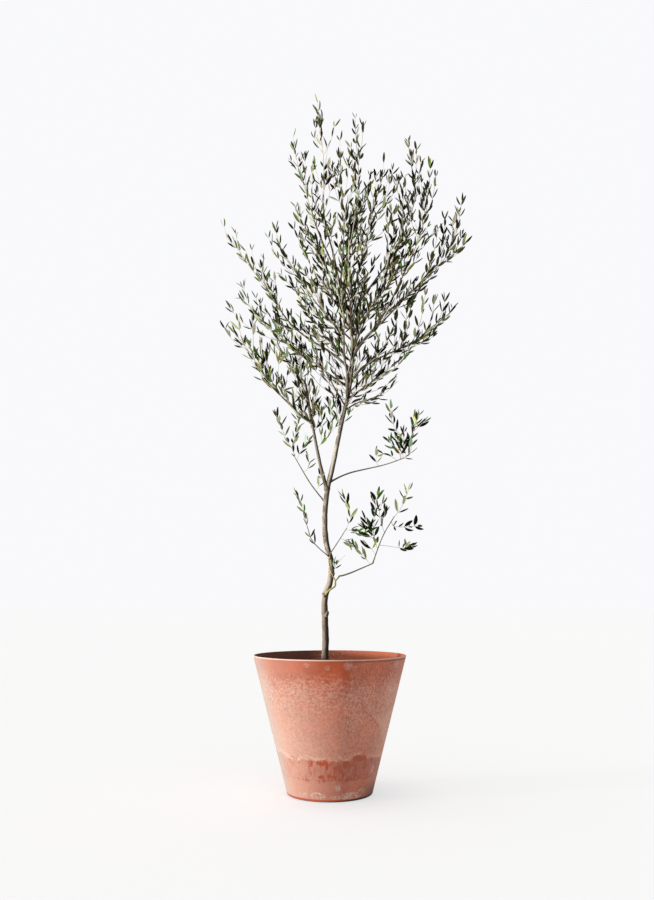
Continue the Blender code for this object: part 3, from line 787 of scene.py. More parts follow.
# A sucker no thicker than a straw runs up the trunk from the same green foot.
sucker = smooth_course(in_metres(green_shoot), bough_span)
first_face = len(bough_wood.slots)
bough_wood.add_tube(sucker, tapered(sucker, green_shoot_radius * 1.3, green_shoot_radius), bough_sides)
bough_wood.slots[first_face:] = [2] * (len(bough_wood.faces) - first_face)
bough_finishes = [young_bark_finish, shaded_bark_finish, green_bark_finish]
bough_piece = add_piece("bough_bark", bough_wood.points, bough_wood.faces, bough_finishes, bough_wood.slots)
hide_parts(*boughs)
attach(bough_piece, "root")

# ------------------------------------------------------------------------------------------------ twigs
# Each mass of foliage is one thin stem that grows on from its bough. Pairs of buds on it grow one shoot
# each, shoots carry finer twigs, and long wands reach the crown's outline. This year's wood is cream.

# Each mass: its parent, the height where it leaves it, its reach and its stem's course, in millimetres.
masses = {
    "leader_foliage": ("trunk", 1345, 80, (-14, 0, 1453), (-16, 4, 1608), (-30, 0, 1736)),
    "top_left_foliage": ("trunk", 1290, 95, (-30, -20, 1400), (-62, -32, 1500), (-94, -40, 1618)),
    "top_right_foliage": ("trunk", 1240, 100, (54, 20, 1380), (79, 24, 1530), (71, 14, 1688)),
    "top_front_foliage": ("trunk", 1260, 105, (36, -70, 1365), (30, -106, 1460), (26, -116, 1550)),
    "top_back_foliage": ("trunk", 1220, 110, (48, 80, 1370), (82, 122, 1500), (106, 136, 1590)),
    "right_top_foliage": ("trunk", 1180, 105, (76, -40, 1290), (108, -60, 1420), (136, -68, 1530)),
    "upper_left_foliage": ("trunk", 1190, 95, (-6, -40, 1282), (-50, -56, 1360), (-74, -58, 1420)),
    "left_upper_foliage": ("trunk", 1110, 105, (-14, 18, 1190), (-80, 30, 1290), (-128, 30, 1374)),
    "left_long_foliage": ("left_long_limb", 1106, 100, (-100, -30, 1146), (-160, -42, 1230),
        (-254, -52, 1362)),
    "left_mid_foliage": ("left_mid_limb", 1058, 105, (-100, 58, 1108), (-170, 70, 1174),
        (-232, 72, 1246)),
    "left_low_foliage": ("left_low_limb", 933, 100, (-150, -46, 985), (-205, -54, 1070),
        (-238, -52, 1112)),
    "left_inner_foliage": ("left_inner_limb", 972, 110, (-90, 64, 1044), (-146, 108, 1130)),
    "left_bough_foliage": ("left_bough", 906, 100, (-60, -36, 975), (-112, -56, 1060)),
    "left_centre_foliage": ("trunk", 1060, 110, (30, -40, 1110), (-20, -64, 1180), (-60, -72, 1268)),
    "front_low_left_foliage": ("trunk", 935, 110, (6, -50, 985), (-34, -110, 1048), (-70, -150, 1120)),
    "front_low_foliage": ("front_limb", 1045, 110, (34, -134, 1110), (26, -180, 1186)),
    "front_right_foliage": ("trunk", 1085, 115, (92, -60, 1150), (134, -126, 1240), (156, -172, 1330)),
    "front_left_foliage": ("trunk", 1140, 115, (10, -56, 1200), (-50, -124, 1270), (-86, -160, 1342)),
    "front_centre_foliage": ("trunk", 1120, 110, (52, -70, 1180), (46, -140, 1270), (50, -180, 1360)),
    "back_foliage": ("back_limb", 1124, 115, (80, 140, 1210), (92, 196, 1330)),
    "back_left_foliage": ("trunk", 1050, 115, (14, 66, 1116), (-52, 140, 1210), (-94, 190, 1310)),
    "back_right_foliage": ("trunk", 1130, 115, (98, 66, 1200), (152, 134, 1304), (194, 176, 1404)),
    "back_centre_foliage": ("trunk", 1170, 110, (20, 76, 1250), (-16, 134, 1354), (-30, 160, 1440)),
    "back_low_right_foliage": ("trunk", 970, 105, (92, 60, 1030), (138, 118, 1110), (168, 150, 1170)),
    "upper_right_foliage": ("right_upper_limb", 1272, 105, (186, 52, 1390), (230, 54, 1520),
        (222, 46, 1640)),
    "outer_right_foliage": ("right_outer_limb", 1220, 100, (216, -64, 1330), (248, -60, 1430),
        (250, -50, 1500)),
    "right_mid_foliage": ("right_mid_limb", 1160, 85, (240, -34, 1262), (294, -35, 1314),
        (316, -33, 1370), (320, -30, 1420)),
    "right_low_foliage": ("right_low_limb", 1062, 100, (200, 22, 1104), (270, 22, 1150), (300, 20, 1180)),
    "right_lower_foliage": ("trunk", 955, 75, (100, -24, 990), (144, -40, 1020), (170, -48, 1040)),
    "low_right_foliage": ("trunk", 925, 65, (72, 18, 950), (114, 28, 966), (140, 30, 986)),
}
# Long wands by the stem or limb that carries them: the height where each leaves, and its tip.
wands = {
    "leader_foliage": [(1690, -31, 0, 1771), (1650, -39, 14, 1722), (1625, 13, -12, 1696),
        (1520, -1, -30, 1592), (1530, -38, 20, 1602)],
    "top_left_foliage": [(1590, -96, -40, 1650), (1540, -78, -20, 1625), (1490, -64, -50, 1584),
        (1440, -46, -10, 1570)],
    "top_right_foliage": [(1650, 70, 16, 1738), (1610, 92, 30, 1722), (1520, 60, 0, 1622),
        (1460, 110, 50, 1588)],
    "top_front_foliage": [(1500, 26, -116, 1600), (1440, 48, -130, 1526), (1430, 6, -100, 1524)],
    "right_top_foliage": [(1470, 140, -64, 1566), (1400, 122, -50, 1536), (1370, 160, -90, 1532),
        (1420, 178, -60, 1520), (1440, 151, -40, 1528), (1350, 170, -50, 1440)],
    "upper_right_foliage": [(1600, 216, 46, 1684), (1560, 238, 50, 1662), (1480, 204, 60, 1586),
        (1420, 196, 40, 1540), (1380, 166, 20, 1470), (1450, 180, 30, 1560), (1400, 197, 10, 1500)],
    "outer_right_foliage": [(1470, 262, -50, 1562), (1420, 276, -50, 1536), (1390, 236, -70, 1508),
        (1360, 204, -40, 1470)],
    "right_mid_foliage": [(1355, 345, -30, 1478), (1300, 345, -50, 1352), (1330, 336, -10, 1450),
        (1290, 302, -20, 1430), (1262, 278, -50, 1390), (1306, 345, -20, 1388), (1175, 186, -10, 1238),
        (1205, 222, -20, 1260)],
    "right_low_foliage": [(1096, 212, 20, 1210), (1112, 250, 10, 1238), (1130, 275, 30, 1222),
        (1150, 300, 0, 1220), (1160, 322, 30, 1206), (1117, 257, 20, 1144), (1085, 174, 30, 1180),
        (1095, 202, 20, 1196)],
    "right_lower_foliage": [(1006, 192, -50, 1056), (990, 150, -30, 1040), (996, 198, -40, 1068),
        (988, 138, -30, 1050)],
    "low_right_foliage": [(944, 108, 35, 952), (960, 166, 30, 1000)],
    "left_long_foliage": [(1340, -271, -50, 1396), (1300, -243, -30, 1386), (1240, -198, -60, 1330),
        (1196, -174, -30, 1296), (1180, -140, -20, 1262)],
    "left_upper_foliage": [(1330, -143, 30, 1426), (1290, -160, 20, 1396), (1215, -98, 20, 1272),
        (1235, -125, 10, 1290)],
    "upper_left_foliage": [(1370, -86, -50, 1450)],
    "left_mid_foliage": [(1160, -232, 70, 1280), (1120, -262, 60, 1214), (1180, -197, 80, 1250),
        (1091, -141, 40, 1161), (1075, -113, 30, 1110), (1120, -150, 60, 1240)],
    "left_low_foliage": [(1000, -232, -50, 1146), (1070, -262, -50, 1124), (970, -201, -40, 1086),
        (945, -150, -50, 1010), (957, -107, -30, 1008), (968, -126, -70, 1034), (998, -156, -30, 1076),
        (1016, -172, -60, 1104), (1047, -194, -40, 1147)],
    "left_bough_foliage": [(942, -94, -50, 1029)],
    "left_inner_foliage": [(986, -77, 50, 1093)],
    "left_low_limb": [(901, -66, -50, 952), (909, -88, -60, 945), (928, -81, -60, 970)],
    "left_bough": [(900, -19, -30, 952), (884, -67, -20, 928), (892, -39, -40, 975),
        (867, -24, -20, 918)],
    "left_inner_limb": [(932, -24, 0, 995), (958, -81, 20, 1010), (947, -130, 20, 1018)],
    "left_mid_limb": [(1037, -77, 20, 1117), (1055, -103, 30, 1147)],
    "trunk": [(887, 1, -20, 938), (903, 11, -40, 965), (931, -4, 20, 1010), (951, -52, -10, 1027),
        (952, -29, -50, 1039), (936, 64, -30, 985), (965, 1, -60, 1068), (978, 21, -70, 1075),
        (967, -65, -30, 1071), (998, -34, -50, 1110), (943, 123, 0, 956), (960, 166, 20, 1013),
        (967, 145, -30, 1021), (950, 81, -50, 993), (970, 56, -60, 1047), (937, 41, -50, 1014),
        (1018, 80, 50, 1110), (1005, 111, 40, 1080)],
    "right_low_limb": [(1050, 184, 30, 1099), (1047, 144, -20, 1105)],
    "right_mid_limb": [(1135, 152, 10, 1206), (1120, 150, -40, 1184)],
    "front_centre_foliage": [(1300, 62, -213, 1380)],
    "front_low_foliage": [(1136, 12, -210, 1222)],
    "front_right_foliage": [(1270, 138, -209, 1350)],
    "back_foliage": [(1270, 104, 236, 1366), (1215, 70, 236, 1300)],
    "back_left_foliage": [(1270, -88, 234, 1348)],
    "back_right_foliage": [(1350, 186, 224, 1424)],
}
# The twigs of the low sprigs: the sprig, if the twig bears leaves, what carries it, the height of its
# foot and its course, in millimetres.
sprig_twigs = {
    "stub_end": (None, "trunk", 540, (21, -14, 543), (28, -16, 550), (38, -18, 560)),
    "knot_shoot": ("trunk_shoots", "trunk", 520, (12, -10, 526), (15, -14, 534)),
    "trunk_leafy": ("trunk_shoots", "trunk", 872, (36, -3, 893), (45, -6, 905), (51, -10, 918)),
    "low_left_tip": ("low_left_sprig", "low_left_branch", 630, (-59, -16, 648), (-66, -16, 672),
        (-78, -18, 704)),
    "inner_right_tip": ("inner_right_sprig", "inner_right_twig", 623, (52, -36, 652), (45, -41, 676),
        (36, -45, 698)),
    "inner_right_side": ("inner_right_sprig", "inner_right_twig", 621, (62, -39, 618), (79, -45, 613),
        (94, -50, 616)),
    "inner_right_spur": ("inner_right_sprig", "inner_right_twig", 601, (40, -26, 593), (48, -20, 586)),
    "right_low_tip": ("right_low_sprig", "right_low_branch_outer", 653, (172, -19, 668), (184, -18, 690),
        (196, -16, 720)),
    "right_low_cluster": ("right_low_sprig", "right_low_branch_outer", 574, (111, -28, 594),
        (107, -36, 612), (88, -50, 641)),
    "right_low_wand": ("right_low_sprig", "right_low_cluster", 611, (109, -30, 640), (113, -29, 680),
        (118, -30, 704)),
    "right_low_upright": ("right_low_sprig", "right_low_branch_outer", 614, (127, -14, 640),
        (124, -5, 666), (130, 0, 686)),
    "right_low_tuft": ("right_low_sprig", "right_low_upright", 636, (133, -28, 652), (137, -40, 664)),
    "right_low_inner": ("right_low_sprig", "right_low_branch_outer", 560, (104, -26, 572),
        (94, -30, 584)),
    "right_low_bunch": ("right_low_sprig", "right_low_cluster", 604, (98, -50, 616), (86, -60, 628)),
    "right_low_front": ("right_low_sprig", "right_low_cluster", 594, (100, -40, 603), (80, -48, 606),
        (66, -50, 612)),
    "right_low_back": ("trunk_shoots", "right_low_branch_inner", 537, (85, -10, 555), (68, 0, 573),
        (57, 10, 585)),
    "right_side": ("right_side_sprig", "right_low_branch_outer", 643, (157, -23, 631), (178, -26, 628),
        (214, -34, 630)),
    "right_hanging": ("right_hanging_sprig", "right_low_branch_outer", 584, (148, -18, 581),
        (180, -14, 577), (199, -10, 584)),
    "left_mid_tip": ("left_mid_sprig", "left_mid_branch", 806, (-96, 20, 830), (-116, 20, 869),
        (-135, 20, 917)),
    "left_mid_right": ("left_mid_sprig", "left_mid_tip", 831, (-91, 25, 849), (-84, 35, 887),
        (-81, 40, 912)),
    "left_mid_thin": ("left_mid_sprig", "left_mid_branch", 800, (-75, 10, 820), (-62, 0, 834),
        (-44, -8, 860)),
    "left_mid_spur": ("left_mid_sprig", "left_mid_branch", 770, (-55, 11, 778), (-52, 5, 794),
        (-54, 0, 804)),
    "left_mid_low": ("left_mid_sprig", "left_mid_branch", 722, (-27, -4, 732), (-23, -18, 756)),
    "fork_tip": ("fork_sprig", "left_bough", 826, (-19, -18, 839), (-4, -21, 856), (14, -26, 877)),
    "fork_wand": ("fork_sprig", "fork_tip", 857, (1, -30, 882), (3, -40, 906), (1, -50, 927)),
    "fork_left": ("fork_sprig", "fork_tip", 840, (-22, -27, 865), (-19, -33, 895), (-24, -40, 917)),
    "arm_tuft_twig": ("arm_tuft", "right_arm", 785, (117, 4, 797), (117, -8, 808)),
    "arm_end": ("right_arm_sprig", "right_arm", 805.5, (198, 11, 812), (206, 10, 824), (208, 4, 842)),
    "arm_left": ("right_arm_sprig", "arm_end", 809, (184, 10, 859), (169, 10, 877), (157, 10, 908),
        (157, 10, 932)),
    "arm_right": ("right_arm_sprig", "arm_end", 813, (203, 7, 848), (212, 5, 871), (225, 0, 912)),
    "arm_upright": ("right_arm_sprig", "arm_end", 816, (206, 4, 852), (214, -4, 884), (218, -6, 905)),
    "arm_outer": ("right_arm_sprig", "arm_right", 871, (224, -2, 883), (237, -10, 894)),
    "arm_low": ("right_arm_sprig", "right_arm", 799, (158, 5, 807), (136, -10, 812)),
    "arm_low_up": ("right_arm_sprig", "right_arm", 803, (173, 1, 819), (150, -20, 842)),
    "arm_middle": ("right_arm_sprig", "right_arm", 804.5, (187, 18, 835), (190, 24, 859), (191, 30, 875)),
    "arm_front": ("right_arm_sprig", "right_arm", 802, (180, -2, 824), (168, -30, 848)),
}
twig_sides = 6
stem_span = 0.010
stem_foot_radius = 0.0023
stem_tip_radius = 0.0006
shoot_foot_radius = 0.0009
twig_foot_radius = 0.0007
twig_tip_radius = 0.00042
young_radius = 0.0016
shoot_spans = 2
first_shoot = 0.40
shoot_step = 0.65
last_shoot = 0.60
shoot_lean = math.radians(34)
shoot_rise = 0.60
shoot_length_at_foot = 1.1
shoot_length_lost = 0.75
# Where fine twigs start on a stem and on a shoot, and the share of its length where they end.
stem_twigs = (0.05, 0.50)
shoot_twigs = (0.02, 0.40)
fine_twig_step = 0.034
fine_twig_length = 0.050
fine_twig_lean = math.radians(30)
fine_twig_rise = 0.50
crown_foot = 0.87
inner_twig_length = 0.070
limb_clearance = 0.003
space_margin = 0.004
sample_step = 0.004


def along_course(course, distance):
    """The point and the direction at a distance along a course."""
    for start, end in zip(course, course[1:]):
        span = (end - start).length
        if distance < span:
            return start.lerp(end, distance / span), (end - start).normalized()
        distance -= span
    return end.copy(), (end - start).normalized()


def samples_of(course, step=sample_step):
    """Points a step or less apart along a course."""
    samples = []
    for start, end in zip(course, course[1:]):
        count = math.ceil((end - start).length / step)
        samples += [start.lerp(end, part / count) for part in range(count)]
    return [*samples, course[-1]]


def search_tree(points):
    tree = kdtree.KDTree(len(points))
    for index, point in enumerate(points):
        tree.insert(point, index)
    tree.balance()
    return tree


limb_points = []
limb_radii = []
for limb in limbs.values():
    limb_points += limb["course"]
    limb_radii += limb["radii"]
limb_tree = search_tree(limb_points)


def clear_of_limbs(points):
    for point in points:
        _, nearest, away = limb_tree.find(point)
        if away - limb_radii[nearest] < limb_clearance:
            return False
    return True


def is_free(points, own_stem, other_stems, reach):
    """True where every point keeps to its own stem's space and clear of the limbs."""
    for point in points:
        own = own_stem.find(point)[2]
        if own > reach or own + space_margin > other_stems.find(point)[2]:
            return False
    return clear_of_limbs(points)


def around(direction, turn):
    """A direction square to the given one, turned about it."""
    level = direction.cross(Vector((1, 0, 0))).normalized()
    return Matrix.Rotation(turn, 3, direction) @ level


def shoot_pairs(stem, reach, dice):
    """The two shoots that each pair of buds could grow: a quarter turn on each time, shorter to the tip."""
    pairs = []
    length = distances_along(stem)[-1]
    turn = dice.uniform(0, math.tau)
    distance = reach * first_shoot
    while distance < length - reach * last_shoot:
        foot, direction = along_course(stem, distance)
        turn += dice.uniform(-0.4, 0.4)
        share = shoot_length_at_foot - shoot_length_lost * distance / length
        span = reach * share * dice.uniform(0.85, 1.1) / shoot_spans
        pair = []
        for side in (0, math.pi):
            heading = direction * math.cos(shoot_lean) + around(direction, turn + side) * math.sin(shoot_lean)
            shoot = [foot]
            for part in range(shoot_spans):
                rising = heading.lerp(up, shoot_rise * (part + 0.5) / shoot_spans).normalized()
                shoot.append(shoot[-1] + rising * span)
            pair.append(shoot)
        pairs.append(pair)
        turn += math.pi / 2
        distance += reach * shoot_step * dice.uniform(0.9, 1.1)
    return pairs


def fine_twigs(carrier, first, last, size, dice):
    """Short twigs that a stem or shoot carries on alternate sides, bending up as they grow."""
    twigs = []
    turn = dice.uniform(0, math.tau)
    distance = first
    while distance < last:
        foot, direction = along_course(carrier, distance)
        outward = around(direction, turn)
        heading = direction * math.cos(fine_twig_lean) + outward * math.sin(fine_twig_lean)
        span = size * dice.uniform(0.55, 1.15) / 3
        twig = [foot]
        for part in range(3):
            rising = heading.lerp(up, fine_twig_rise * (part + 0.5) / 3).normalized()
            twig.append(twig[-1] + rising * span)
        twigs.append(twig)
        turn += dice.uniform(1.9, 2.9)
        distance += fine_twig_step * dice.uniform(0.7, 1.3)
    return twigs


def wand(foot, tip):
    """A course that leaves its foot sideways and bends up to its tip."""
    count = max(3, round((tip - foot).length / stem_span))
    course = []
    for part in range(count + 1):
        share = part / count
        aside = (share + math.sin(share * math.pi / 2)) / 2
        rise = (share + 1 - math.cos(share * math.pi / 2)) / 2
        across, deep = (tip.x - foot.x) * aside, (tip.y - foot.y) * aside
        course.append(foot + Vector((across, deep, (tip.z - foot.z) * rise)))
    return course


def wands_of(carrier, course):
    return [
        wand(at_height(course, height / 1000), *in_metres([tip]))
        for height, *tip in wands.get(carrier, ())
    ]


twig_wood = Wood(young_radius)


def add_twigs(courses, foot_radius):
    for course in courses:
        twig_wood.add_tube(course, tapered(course, foot_radius, twig_tip_radius), twig_sides)


sprays = {}
stems = {}
for name, (parent, height, _, *points) in masses.items():
    foot = at_height(limbs[parent]["course"], height / 1000)
    stems[name] = smooth_course([foot, *in_metres(points)], stem_span)
    foot_radius = min(stem_foot_radius, radius_at(limbs[parent], foot) * 0.9)
    twig_wood.add_tube(stems[name], tapered(stems[name], foot_radius, stem_tip_radius), twig_sides)
for seed, name in enumerate(masses):
    reach = masses[name][2] / 1000
    own_tree = search_tree(samples_of(stems[name]))
    others = [other for other in stems if other != name]
    other_tree = search_tree([point for other in others for point in samples_of(stems[other])])
    dice = random.Random(seed)
    shoots = []
    for pair in shoot_pairs(stems[name], reach, dice):
        # The first samples lie in the stem that carries the shoot.
        free = [shoot for shoot in pair if is_free(samples_of(shoot)[2:], own_tree, other_tree, reach)]
        shoots += [smooth_course(shoot, stem_span) for shoot in free[:1]]
    twigs = []
    for carrier in (stems[name], *shoots):
        first, share = stem_twigs if carrier is stems[name] else shoot_twigs
        last = distances_along(carrier)[-1] * share
        for twig in fine_twigs(carrier, first, last, fine_twig_length, dice):
            if is_free(samples_of(twig)[2:], own_tree, other_tree, reach):
                twigs.append(smooth_course(twig, stem_span))
    shoots += wands_of(name, stems[name])
    sprays[name] = [stems[name], *shoots, *twigs]
    add_twigs(shoots, shoot_foot_radius)
    add_twigs(twigs, twig_foot_radius)

carriers = {name: limb["course"] for name, limb in limbs.items()}
for name, (sprig, carrier, height, *points) in sprig_twigs.items():
    foot = at_height(carriers[carrier], height / 1000)
    carriers[name] = smooth_course([foot, *in_metres(points)], stem_span / 2)
    if sprig:
        sprays.setdefault(sprig, []).append(carriers[name])
    add_twigs([carriers[name]], twig_foot_radius)

# Short leafy twigs also break from the older wood inside the crown, and the low branches bear leaves.
inner_dice = random.Random(71)
sprays["inside"] = []
for carrier in wands:
    if carrier in limbs:
        sprays["inside"] += wands_of(carrier, limbs[carrier]["course"])
for limb in limbs.values():
    course = [point for point in limb["course"] if point.z > crown_foot]
    if course:
        found = fine_twigs(course, 0.01, distances_along(course)[-1], inner_twig_length, inner_dice)
        sprays["inside"] += [smooth_course(twig, stem_span) for twig in found]
add_twigs(sprays["inside"], shoot_foot_radius)
leafy_wood = {"low_left_branch": 0.576, "left_mid_branch": 0.795, "right_arm": 0.800}
for name, height in leafy_wood.items():
    sprays["trunk_shoots"].append([point for point in limbs[name]["course"] if point.z > height])

cream_bark = mottled("young_twig_bark", 0.7, 0.3, 0.03, 2, (176, 160, 136), (226, 216, 198), 0.0002)
brown_bark = mottled("twig_bark", 0.8, 0.25, 0.012, 3, (68, 54, 40), (124, 106, 84), 0.0002)
twigs_piece = add_piece("twigs", twig_wood.points, twig_wood.faces, [brown_bark, cream_bark], twig_wood.slots)
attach(twigs_piece, "root")

# ----------------------------------------------------------------------------------------------- leaves
# Narrow leathery leaves with blunt tips, in opposite pairs, each pair a quarter turn on from the last.
# The upper side is dark green, the underside silver to beige, and the margins roll under.

leaf_length = 0.0320
leaf_slenderness = 0.222
leaf_thickness = 0.0005
leaf_rise = 0.25
bare_stem = 0.045
# Each habit of growth: the step between pairs, their lean, and how much longer and broader leaves are.
habits = {
    "crown": (0.0288, math.radians(29), 1.0, 1.0),
    "sprig": (0.0170, math.radians(36), 0.89, 1.10),
    "stout": (0.0205, math.radians(46), 1.03, 1.26),
    "short": (0.0120, math.radians(58), 0.83, 1.62),
}
stout_sprigs = ("right_low_sprig", "right_arm_sprig", "arm_tuft")
# Two of the low twigs are bare at first, and short leaves stand nearly square to their ends.
bare_feet = {"right_side_sprig": 0.014, "right_hanging_sprig": 0.050}
sprig_facing = Vector((0, -0.5, 0))
# Pairs stand further apart to the left and to the top, growing from the first place to the second.
sparser = 1.45
sparse_left = (-0.05, -0.17)
sparse_top = (1.30, 1.44)
# A long twig keeps more of its leaves there, and ends in a tuft where they stand closer.
long_twig = 0.075
long_twig_sparse = 0.3
tuft_reach = 0.060
tuft_closeness = 0.54
# Thin spots of the crown, seen from the front: middle across, middle height, reach, and share of leaves lost.
thin_spots = (
    (0.030, 0.990, 0.17, 0.55),
    (0.150, 1.060, 0.07, 0.45),
    (-0.025, 1.290, 0.12, 0.42),
    (-0.030, 1.500, 0.05, 0.40),
    (-0.020, 1.620, 0.09, 0.45),
    (-0.235, 1.350, 0.08, 0.50),
)
leaf_stations = (0.0, 0.10, 0.20, 0.38, 0.60, 0.80, 0.93)
leaf_across = (-1.0, -0.5, 0.0, 0.5, 1.0, 0.0)
upper_points = 5
margin_roll = 0.30
stalk_share = 0.13
leaves_in_a_piece = 2000
# No pair stands nearer to the tip of its twig than this.
tip_gap = 0.004
# What the dice draw from: least and most, but for curls and rolls a middle and a spread.
first_leaf = (0.010, 0.018)
leaf_sizes = (0.72, 1.15)
tip_leaf_sizes = (0.5, 0.95)
tip_leaf_leans = (0.12, 0.4)
leans = (0.45, 1.45)
breadths = (0.85, 1.2)
folds = (-0.75, -0.05)
curls = (0.20, 0.35)
rolls = (0, 0.9)
# Points along a leaf that must be clear of the limbs.
probes = (0.35, 0.6, 1.0)
stray_tint = 0.72
# Each tint: the upper side and the underside out of 255, and how often it is dealt in the crown's left, in
# its right, low down, and on the two twigs with bare feet. The last tint is painted shade, dealt mostly on
# the right.
tints = (
    ((7, 10, 3), (138, 140, 84), 22, 26, 20, 10),
    ((14, 22, 6), (202, 195, 170), 17, 8, 20, 2),
    ((24, 52, 12), (172, 182, 130), 25, 14, 24, 16),
    ((38, 34, 10), (112, 106, 56), 12, 12, 14, 4),
    ((54, 84, 36), (160, 186, 152), 13, 2, 9, 2),
    ((64, 102, 30), (108, 136, 70), 15, 8, 14, 4),
    ((122, 132, 46), (204, 206, 128), 1.4, 0.8, 2.0, 0),
    ((124, 76, 32), (178, 142, 102), 0.8, 0.4, 0.4, 0),
    ((6, 10, 3), (68, 68, 40), 12, 150, 10, 60),
)
stray_tints = (6, 7)
lit_edge = -0.20
shaded_edge = 0.22


def habit_of(spray):
    if spray in bare_feet:
        return "short"
    if spray in stout_sprigs:
        return "stout"
    return "crown" if spray in masses or spray == "inside" else "sprig"


def share_past(value, limits):
    return min(1, max(0, (value - limits[0]) / (limits[1] - limits[0])))


def deal_tint(place, habit, dice):
    """Tints are dealt out by place: paler undersides on the crown's left are painted light, and the dark
    tints on its right are painted shade.
    """
    on_the_lit_left, on_the_shaded_right, low_down, at_the_ends = list(zip(*tints))[2:]
    odds = at_the_ends if habit == "short" else low_down
    if habit == "crown":
        share = share_past(place.x, (lit_edge, shaded_edge))
        odds = [left * (1 - share) + right * share for left, right in zip(on_the_lit_left, on_the_shaded_right)]
    return dice.choices(range(len(tints)), odds)[0]


def leaf_places(twig, first, step, widest, dice):
    """(foot, heading, upper side, length) of each leaf on a twig, and the two small ones at its tip."""
    places = []
    length = distances_along(twig)[-1]
    turn = dice.uniform(0, math.tau)
    distance = first
    while distance < length - tip_gap:
        foot, direction = along_course(twig, distance)
        for side in (0, math.pi):
            outward = around(direction, turn + side + dice.uniform(-0.3, 0.3))
            lean = widest * dice.uniform(*leans) * (1 + 0.5 * min(0, outward.z))
            heading = direction * math.cos(lean) + outward * math.sin(lean) + up * leaf_rise
            places.append((foot, heading.normalized(), direction, dice.uniform(*leaf_sizes)))
        turn += math.pi / 2 + dice.uniform(-0.25, 0.25)
        near_tip = share_past(length - distance, (tuft_reach, 0.0)) if length > long_twig else 0.0
        distance += step * dice.uniform(0.8, 1.25) * (1 - tuft_closeness * near_tip)
    foot, direction = along_course(twig, length)
    for side in (0, math.pi):
        outward = around(direction, turn + side)
        heading = direction + outward * dice.uniform(*tip_leaf_leans)
        places.append((foot, heading.normalized(), outward * -1, dice.uniform(*tip_leaf_sizes)))
    return places


def is_dropped(place, dice):
    """True for a leaf that has fallen, in the spots where the crown is thin."""
    for across, level, reach, share in thin_spots:
        away = math.hypot(place.x - across, place.z - level)
        if dice.random() < share * share_past(away, (reach, reach / 3)):
            return True
    return False


leaf_rows = []
leaf_masses = []
for seed, name in enumerate(sprays):
    dice = random.Random(100 + seed)
    habit = habit_of(name)
    step, widest, longer, broader = habits[habit]
    for index, twig in enumerate(sprays[name]):
        sparse = max(share_past(twig[0].x, sparse_left), share_past(twig[0].z, sparse_top))
        if distances_along(twig)[-1] > long_twig:
            sparse *= long_twig_sparse
        own_step = step * (1 + sparser * sparse) if habit == "crown" else step
        tint = deal_tint(twig[0], habit, dice)
        if tint in stray_tints:
            tint = 0
        first = dice.uniform(*first_leaf)
        if index == 0 and name in masses:
            first = bare_stem
        first = bare_feet.get(name, first)
        for foot, heading, facing, size in leaf_places(twig, first, own_step, widest, dice):
            length = leaf_length * size * longer
            if habit in ("stout", "short"):
                facing = facing + sprig_facing
            upper_side = (facing - heading * facing.dot(heading)).normalized()
            upper_side = Matrix.Rotation(dice.gauss(*rolls), 3, heading) @ upper_side
            tip = foot + heading * length
            if habit == "crown" and is_dropped(foot.lerp(tip, 0.5), dice):
                continue
            if not clear_of_limbs([foot.lerp(tip, share) for share in probes]):
                continue
            own_tint = tint
            if dice.random() < stray_tint:
                own_tint = deal_tint(foot, habit, dice)
            width = length * leaf_slenderness * dice.uniform(*breadths) * broader
            fold = dice.uniform(*folds)
            curl = dice.gauss(*curls)
            leaf_rows.append((*foot, *heading, *upper_side, length, width, fold, curl, own_tint))
            leaf_masses.append(name)


def leaf_mesh(rows):
    """Points, faces and slots of many leaves. Each is a folded, slightly curled blade on a stalk."""
    rows = np.array(rows)
    foot, heading, upper_side = rows[:, 0:3], rows[:, 3:6], rows[:, 6:9]
    length, width, fold, curl = (rows[:, column, None] for column in range(9, 13))
    tint = rows[:, 13].astype(int)
    across = np.cross(heading, upper_side)
    curled = abs(curl) > 1e-3
    rings = []
    for station in (*leaf_stations, 1.0):
        bend = curl * station
        safe_curl = np.where(curled, curl, 1)
        drop = np.where(curled, (1 - np.cos(bend)) / safe_curl, 0)
        forward = np.where(curled, np.sin(bend) / safe_curl, station)
        centre = foot + length * (heading * forward - upper_side * drop)
        above = upper_side * np.cos(bend) + heading * np.sin(bend)
        if station == 1.0:
            rings.append(centre[:, None, :])
            continue
        blade = max(0.0, (station - leaf_stations[1]) / (1 - leaf_stations[1]))
        half = width / 2 * max(stalk_share, math.sin(math.pi * blade**0.85) ** 0.6)
        ring = []
        for place_in_ring, side in enumerate(leaf_across):
            lift = abs(side) * half * np.sin(fold) - margin_roll * half * side**4 * (blade > 0)
            if place_in_ring >= upper_points:
                lift = lift - leaf_thickness
            ring.append(centre + across * (side * half * np.cos(fold)) + above * lift)
        rings.append(np.stack(ring, axis=1))
    points = np.concatenate(rings, axis=1)
    around_ring = len(leaf_across)
    pattern = [tuple(range(around_ring))]
    kinds = [1]
    for ring in range(len(leaf_stations) - 1):
        for side in range(around_ring):
            after = (side + 1) % around_ring
            low = ring * around_ring
            pattern.append((low + side, low + around_ring + side, low + around_ring + after, low + after))
            kinds.append(int(side >= upper_points - 1))
    last = (len(leaf_stations) - 1) * around_ring
    for side in range(around_ring):
        pattern.append((last + side, last + around_ring, last + (side + 1) % around_ring))
        kinds.append(int(side >= upper_points - 1))
    in_a_leaf = points.shape[1]
    faces = []
    slots = []
    for leaf in range(len(rows)):
        faces += [tuple(corner_index + leaf * in_a_leaf for corner_index in face) for face in pattern]
        slots += [2 * tint[leaf] + kind for kind in kinds]
    return points.reshape(-1, 3), faces, slots


def plain(name, colour, roughness, specular=0.0):
    material = new_material(name, roughness, specular)
    material.node_tree.nodes["Principled BSDF"].inputs["Base Color"].default_value = (*colour, 1)
    return material


